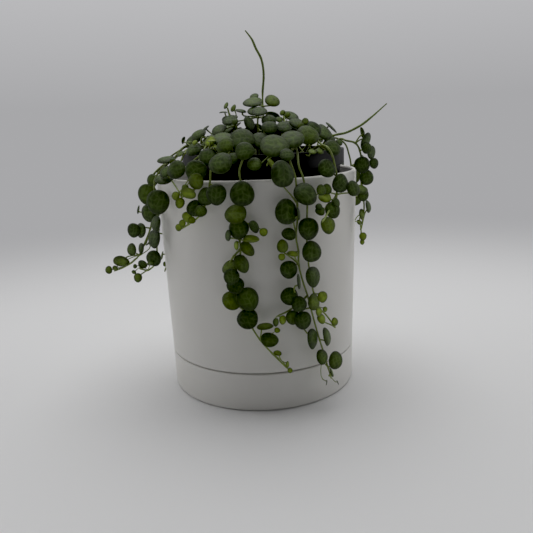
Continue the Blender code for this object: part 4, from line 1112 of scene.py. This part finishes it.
def crown_shoots():
    """The short shoots over the nursery pot, in the same way."""
    return [
        Vine(
            "left_crown_shoot",
            root(-60, 0.55) + many(crown, (-60, 0.8, 4), (-58, 0.98, 4.5), (-55, 1.1, 1), (-53, 1.2, -5)),
            many(topped, (-58, 1.0, 7, 4.6, 50, 90), (-70, 1.0, 8, 4.6, 60, 180),
                (-48, 1.06, 3.5, 9.6, 10, 90), (-56, 1.14, 1, 4.6, 20, 90), (-56, 1.24, -3, 4.2, 50),
                (-50, 1.24, -6, 3), (-66, 0.86, 5, 9), (-58, 0.72, 7, 10)),
            "omgmoogd",
        ),
        Vine(
            "left_top_shoot",
            root(-34, 0.4) + many(crown, (-35, 0.66, 3), (-37, 0.88, 5), (-37, 1.04, 2)),
            many(topped, (-42, 0.7, 7, 9, 0, 60), (-30, 0.92, 8.5, 12, 0, 90, 58),
                (-31, 1.18, 0, 10.2, 10, 0, 30), (-35, 1.0, 6.5, 7, 10, 180, 35),
                (-45, 0.98, 8, 4.6, 65, 180), (-47, 1.03, 6, 3.4), (-31, 1.08, 7.5, 5, 50, 90),
                (-28, 1.09, 4.5, 5.6, 50, 70), (-23, 1.04, 2, 9.4)),
            "gmglllllm",
        ),
        Vine(
            "front_top_shoot",
            root(-14, 0.36) + many(crown, (-15, 0.65, 3), (-16, 0.88, 4), (-17, 1.07, 0))
            + many(wall, (-14.5, 1.5, -8)),
            many(topped, (-14, 0.97, 7, 14.5, 0, 90), (-23, 0.98, 5, 6), (-20, 1.1, 2, 9, 0, 90),
                (-17, 1.18, -1, 7.5, 10, 90), (-10, 1.14, 0, 10.5, 0, 90))
            + many(hung, (-15.5, 6, -9.5, 13, 0, 90, 35)),
            "gmmggg",
        ),
        Vine(
            "front_right_top_shoot",
            root(2, 0.44) + many(crown, (3, 0.72, 3), (4, 0.92, 4), (4, 1.1, 0), (1, 1.2, -5)),
            many(topped, (-3, 0.92, 7, 11.5, 0, 90), (17, 1.02, 5.5, 13.5, 15, 115),
                (5.5, 1.1, 3, 16, 0, 90, 44), (11, 1.18, -2, 8, 10, 90), (-5, 1.24, -4, 8, 10, 90),
                (3, 1.26, -4, 6.4, 55, 20)),
            "dgmdml",
        ),
        Vine(
            "right_top_shoot",
            root(32, 0.44) + many(crown, (32, 0.68, 4.5), (31, 0.86, 6.5), (29, 1.04, 3.5)),
            many(topped, (39, 0.86, 10.5, 11, 0, 90, 30), (31, 0.96, 9, 13, 0, 90, 35),
                (30, 0.84, 14, 4, 30, 180, 30), (35, 0.82, 15.5, 4, 20, 180, 30),
                (27, 1.14, 0.5, 4.6, 30, 90), (32, 1.14, 0.5, 4.6, 20, 60)),
            "dmoooo",
        ),
        Vine(
            "right_low_shoot",
            root(45, 0.7) + many(crown, (43, 0.9, 2.5), (42, 1.06, 2)),
            many(topped, (43, 1.12, 1.5, 10, 0, 90), (55, 1.06, 4, 4.4), (53, 0.86, 8, 10, 0, 60),
                (66, 0.84, 7, 10.5)),
            "gggd",
        ),
        Vine(
            "left_high_shoot",
            root(-45, 0.28) + many(crown, (-42, 0.42, 9), (-38, 0.5, 15), (-40, 0.58, 21), (-41, 0.6, 25)),
            many(topped, (-50, 0.66, 13, 9.5), (-62, 0.5, 13, 10), (-33, 0.68, 18, 8.8, 10, 100, 40),
                (-26, 0.7, 17, 4, 0, 0, 30), (-41, 0.62, 26, 4.2, 30, 180, 30),
                (-34, 0.58, 24.5, 4.6, 30, 180, 30), (-48, 0.6, 22.5, 5, 40, 90),
                (-45, 0.6, 19, 4.6, 0, 0, 40)),
            "ggdmoomm",
        ),
        Vine(
            "centre_shoot",
            root(-20, 0.14) + many(crown, (-15, 0.2, 11), (-12, 0.22, 19), (5, 0.18, 25)),
            many(topped, (60, 0.4, 19, 10.5), (-70, 0.4, 18, 10), (150, 0.3, 20, 10),
                (-12, 0.72, 16, 8.5, 50, 0, 30), (6, 0.68, 17, 8.5, 0, 0, 30), (-3, 0.6, 21, 9, 0, 90, 55),
                (-36, 0.42, 23, 7, 30, 60), (-12, 0.42, 22.5, 8, 0, 90, 50), (33, 0.24, 28, 9.4, 0, 0, 40),
                (-19, 0.3, 27, 12, 0, 90, 62), (-30, 0.16, 31, 5.5, 0, 90, 50)),
            "gggddddmomm",
        ),
        Vine(
            "centre_right_shoot",
            root(40, 0.26) + many(crown, (32, 0.42, 8), (27, 0.54, 14), (25, 0.58, 19)),
            many(topped, (60, 0.6, 12, 10.5), (40, 0.62, 15, 9.5), (5, 0.84, 13.5, 9, 0, 0, 35),
                (16, 0.84, 13.5, 8.8, 0, 90, 45), (22, 0.62, 21, 3.6, 30, 180, 30),
                (29, 0.6, 20, 3.6, 30, 180, 30), (18, 0.62, 17.5, 4.4, 0, 0, 40)),
            "ggddoom",
        ),
    ]


# ---- the vines behind, by rule -----------------------------------------------------------------

LEAF_SPACING = 8
# Turn round the pot and length of each vine that trails behind, in degrees and mm below the rim.
BACK_VINES = [(106, 34), (126, 78), (146, 46), (166, 96), (187, 60), (208, 84), (229, 38), (250, 62)]
BACK_SHOOTS = [92, 128, 168, 206, 244, 282]
# A back shoot's leaves: degrees beside it, share of the nursery pot's radius, and mm above its lip.
BACK_LEAVES = [
    (-16, 0.42, 9), (14, 0.5, 8), (-12, 0.66, 6), (16, 0.76, 4.5), (0, 0.6, 9), (5, 0.8, 11),
    (-4, 0.36, 12),
]


def trailing_vine(number, turn, hang):
    """A vine that climbs over both rims and trails, with leaves by turns left and right of it."""
    chance = random.Random(number)
    places = root(turn, 0.7) + [crown(turn, 0.92, 5), crown(turn, 1.1, 2)]
    places += [wall(turn, 1.5, -6), wall(turn, 3, 1)]
    drift, sway, start = chance.uniform(-0.12, 0.12), chance.uniform(1.5, 3.5), chance.uniform(0, 6)

    def bearing(drop):
        return turn + drift * drop + sway * math.sin(drop / 13 + start) * min(1, drop / 15)

    leaves = [topped(turn - 5, 0.8, 6, 10, axis=40), topped(turn + 5, 0.94, 6, 9, axis=-40)]
    for drop in range(14, hang - 4, 14):
        places.append(wall(bearing(drop), 4 + chance.uniform(-0.3, 0.8), drop))
    for index, level in enumerate(range(0, hang, LEAF_SPACING)):
        side = 1 if index % 2 else -1
        grown = 1 - level / hang
        drop = level + chance.uniform(-1.5, 1.5)
        size = (5 + 8 * min(1, 1.6 * grown)) * chance.uniform(0.72, 1.08)
        away = side * (2.2 + 0.32 * size + chance.uniform(-0.8, 0.6))
        tilt = chance.uniform(-40, 40)
        faces = turn + side * chance.uniform(5, 35)
        leaves.append(hung(bearing(drop) + away, 7 + chance.uniform(-1, 2), drop, size, tilt,
                           side * chance.uniform(10, 70), faces=faces))
    places.append(wall(bearing(hang), 5, hang + 3))
    leaves.append(hung(bearing(hang), 7, hang + 4, 4, 35, 20))
    leaves.append(hung(bearing(hang) + 3.5, 6.5, hang - 1, 3.6, -30, 60))
    return Vine(f"back_vine_{number + 1}", places, leaves)


def back_shoots():
    """Shoots that cover the soil at the back of the crown."""
    shoots = []
    for number, turn in enumerate(BACK_SHOOTS):
        chance = random.Random(40 + number)
        route = root(turn, 0.34) + [crown(turn, 0.5, 4), crown(turn, 0.64, 7)]
        leaves = []
        for side, share, rise in BACK_LEAVES:
            lift, size = chance.uniform(-1, 1), chance.uniform(8.5, 12)
            leaves.append(topped(turn + side, share, rise + lift, size, axis=side * 2))
        shoots.append(Vine(f"back_shoot_{number + 1}", route, leaves))
    return shoots


def back_vines():
    """The vines that trail behind."""
    return [trailing_vine(number, turn, hang) for number, (turn, hang) in enumerate(BACK_VINES)]


# ---- the stage ---------------------------------------------------------------------------------


def seamless_paper():
    """Pale matt studio paper that, further off, gives way to a painted glow in the backdrop's tone: the far
    floor emits that tone instead of being lit.
    """
    stage = bpy.context.scene.turtle_stage
    made, tree, shader = new_material("seamless_paper")
    distance = add_node(tree, "VectorMath", {0: object_place(tree)}, operation="LENGTH").outputs["Value"]
    painted_glow_share = ranged(tree, distance, PAPER_NEAR, PAPER_FAR, 0, 1, "SMOOTHSTEP")
    # Painted light: the far floor glows in the horizon colour rather than taking the light of the lamps.
    painted_far_glow = add_node(tree, "Emission", {"Color": (*stage.horizon, 1)})
    faded = add_node(tree, "MixShader", {0: painted_glow_share, 1: shader.outputs["BSDF"], 2: painted_far_glow.outputs["Emission"]})
    tree.links.new(faded.outputs["Shader"], tree.nodes["Material Output"].inputs["Surface"])
    shader.inputs["Base Color"].default_value = (*stage.paper, 1)
    shader.inputs["Roughness"].default_value = 0.9
    shader.inputs["Specular IOR Level"].default_value = 0.2
    return made


def studio_world():
    """Even light from all round, brighter from above and dimmer from the front."""
    stage = bpy.context.scene.turtle_stage
    world = bpy.data.worlds.new("studio")
    world.use_nodes = True
    tree = world.node_tree
    direction = add_node(tree, "TexCoord").outputs["Generated"]
    height = add_node(tree, "SeparateXYZ", {"Vector": direction}).outputs["Z"]
    tones = toned(tree, height, [(0.03, stage.horizon), (0.18, stage.backdrop), (0.5, stage.sky)])
    backwards = add_node(tree, "VectorMath", {0: direction, 1: BRIGHT_WAY}, operation="DOT_PRODUCT")
    share = ranged(tree, backwards.outputs["Value"], -0.7, 0.75, 1 - stage.front_dimming, 1)
    # The eye sees the same backdrop all round, and only the light that falls on things is dimmed.
    seen = add_node(tree, "LightPath").outputs["Is Camera Ray"]
    shown = mixed(tree, seen, scaled(tree, tones, share), tones)
    tree.links.new(shown, tree.nodes["Background"].inputs["Color"])
    return world


def softbox(name, place, aim, width, watts):
    """A square soft light that faces a point."""
    light = bpy.data.lights.new(name, "AREA")
    light.shape = "SQUARE"
    light.size = width
    light.energy = watts
    lamp = bpy.data.objects.new(name, light)
    lamp.location = place
    lamp.visible_camera = False
    lamp.rotation_mode = "QUATERNION"
    lamp.rotation_quaternion = (Vector(aim) - Vector(place)).to_track_quat("-Z", "Y")
    bpy.context.scene.collection.objects.link(lamp)
    return lamp


def build_stage():
    """The floor, the light and the camera."""
    stage = bpy.context.scene.turtle_stage
    bm = bmesh.new()
    bmesh.ops.create_circle(bm, cap_ends=True, segments=96, radius=PAPER_RADIUS)
    mesh = bpy.data.meshes.new("paper_floor")
    bm.to_mesh(mesh)
    bm.free()
    mesh.materials.append(seamless_paper())
    floor = bpy.data.objects.new("paper_floor", mesh)
    bpy.context.scene.collection.objects.link(floor)

    bpy.context.scene.world = studio_world()
    view = bpy.context.scene.view_settings
    view.view_transform = "Standard"
    view.use_curve_mapping = True
    view.curve_mapping.black_level = (BLACK_LEVEL,) * 3
    view.curve_mapping.update()
    softbox("top_softbox", TOP_PLACE, TOP_AIM, TOP_WIDTH, stage.top_light)
    sides = (("left_softbox", -1, stage.left_light), ("right_softbox", 1, stage.right_light))
    for name, side, watts in sides:
        softbox(name, (side * SIDE_REACH, SIDE_BACK, SIDE_HEIGHT), SIDE_AIM, SIDE_WIDTH, watts)

    camera = bpy.data.objects.new("camera", bpy.data.cameras.new("camera"))
    camera.data.lens = LENS
    camera.data.sensor_width = SENSOR
    camera.location = CAMERA_PLACE
    camera.rotation_mode = "QUATERNION"
    look = (CAMERA_AIM - CAMERA_PLACE).to_track_quat("-Z", "Y")
    camera.rotation_quaternion = look @ Matrix.Rotation(CAMERA_ROLL, 3, "Z").to_quaternion()
    bpy.context.scene.collection.objects.link(camera)
    bpy.context.scene.camera = camera


# ---- operators and panel -----------------------------------------------------------------------


class Maker:
    """What every operator here does: it runs its steps."""

    steps = ()

    def execute(self, context):
        for step in self.steps:
            step()
        return {"FINISHED"}


class TURTLES_OT_saucer(Maker, Operator):
    """Make the glazed saucer"""

    bl_idname = "turtles.saucer"
    bl_label = "Saucer"
    steps = (build_saucer,)


class TURTLES_OT_outer_pot(Maker, Operator):
    """Make the glazed white pot"""

    bl_idname = "turtles.outer_pot"
    bl_label = "White Pot"
    steps = (build_outer_pot,)


class TURTLES_OT_nursery_pot(Maker, Operator):
    """Make the moulded black nursery pot"""

    bl_idname = "turtles.nursery_pot"
    bl_label = "Nursery Pot"
    steps = (build_nursery_pot,)


class TURTLES_OT_potting_mix(Maker, Operator):
    """Make the potting mix and its loose crumbs"""

    bl_idname = "turtles.potting_mix"
    bl_label = "Potting Mix"
    steps = (build_potting_mix, build_crumbs)


class TURTLES_OT_front_vines(Maker, Operator):
    """Grow the vines that trail down the front and the sides"""

    bl_idname = "turtles.front_vines"
    bl_label = "Front Vines"
    steps = (lambda: grow(front_vines()),)


class TURTLES_OT_crown_shoots(Maker, Operator):
    """Grow the short shoots of the crown"""

    bl_idname = "turtles.crown_shoots"
    bl_label = "Crown Shoots"
    steps = (lambda: grow(crown_shoots()),)


class TURTLES_OT_back_vines(Maker, Operator):
    """Grow the vines and shoots behind"""

    bl_idname = "turtles.back_vines"
    bl_label = "Back Vines"
    steps = (lambda: grow(back_vines()), lambda: grow(back_shoots()))


class TURTLES_OT_flower_spikes(Maker, Operator):
    """Grow the two flower spikes"""

    bl_idname = "turtles.flower_spikes"
    bl_label = "Flower Spikes"
    steps = (build_spikes,)


class TURTLES_OT_stage(Maker, Operator):
    """Set up the floor, the light and the camera"""

    bl_idname = "turtles.stage"
    bl_label = "Stage"
    steps = (build_stage,)


PIECE_OPERATORS = (
    TURTLES_OT_saucer, TURTLES_OT_outer_pot, TURTLES_OT_nursery_pot, TURTLES_OT_potting_mix,
    TURTLES_OT_front_vines, TURTLES_OT_crown_shoots, TURTLES_OT_back_vines, TURTLES_OT_flower_spikes,
    TURTLES_OT_stage,
)
SETTINGS = {"turtle_pots": TurtlePots, "turtle_plant": TurtlePlant, "turtle_stage": TurtleStage}


class TURTLES_PT_panel(Panel):
    """Sizes, colours and pieces of the potted string of turtles"""

    bl_idname = "TURTLES_PT_panel"
    bl_label = "Potted String of Turtles"
    bl_space_type = "VIEW_3D"
    bl_region_type = "UI"
    bl_category = "Turtles"

    def draw(self, context):
        for settings in SETTINGS:
            group = getattr(context.scene, settings)
            box = self.layout.box()
            for name in group.bl_rna.properties.keys():
                if name not in ("rna_type", "name"):
                    box.prop(group, name)
        for operator in PIECE_OPERATORS:
            self.layout.operator(operator.bl_idname)


def register():
    for cls in (*SETTINGS.values(), *PIECE_OPERATORS, TURTLES_PT_panel):
        bpy.utils.register_class(cls)
    for name, cls in SETTINGS.items():
        setattr(bpy.types.Scene, name, PointerProperty(type=cls))


def unregister():
    for name in SETTINGS:
        delattr(bpy.types.Scene, name)
    for cls in (TURTLES_PT_panel, *reversed(PIECE_OPERATORS), *reversed(SETTINGS.values())):
        bpy.utils.unregister_class(cls)


def write_sizes():
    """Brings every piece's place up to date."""
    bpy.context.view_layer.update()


def main():
    register()
    bpy.ops.turtles.saucer()
    bpy.ops.turtles.outer_pot()
    bpy.ops.turtles.nursery_pot()
    bpy.ops.turtles.potting_mix()
    bpy.ops.turtles.front_vines()
    bpy.ops.turtles.crown_shoots()
    bpy.ops.turtles.back_vines()
    bpy.ops.turtles.flower_spikes()
    bpy.ops.turtles.stage()
    write_sizes()


if __name__ == "__main__":
    main()
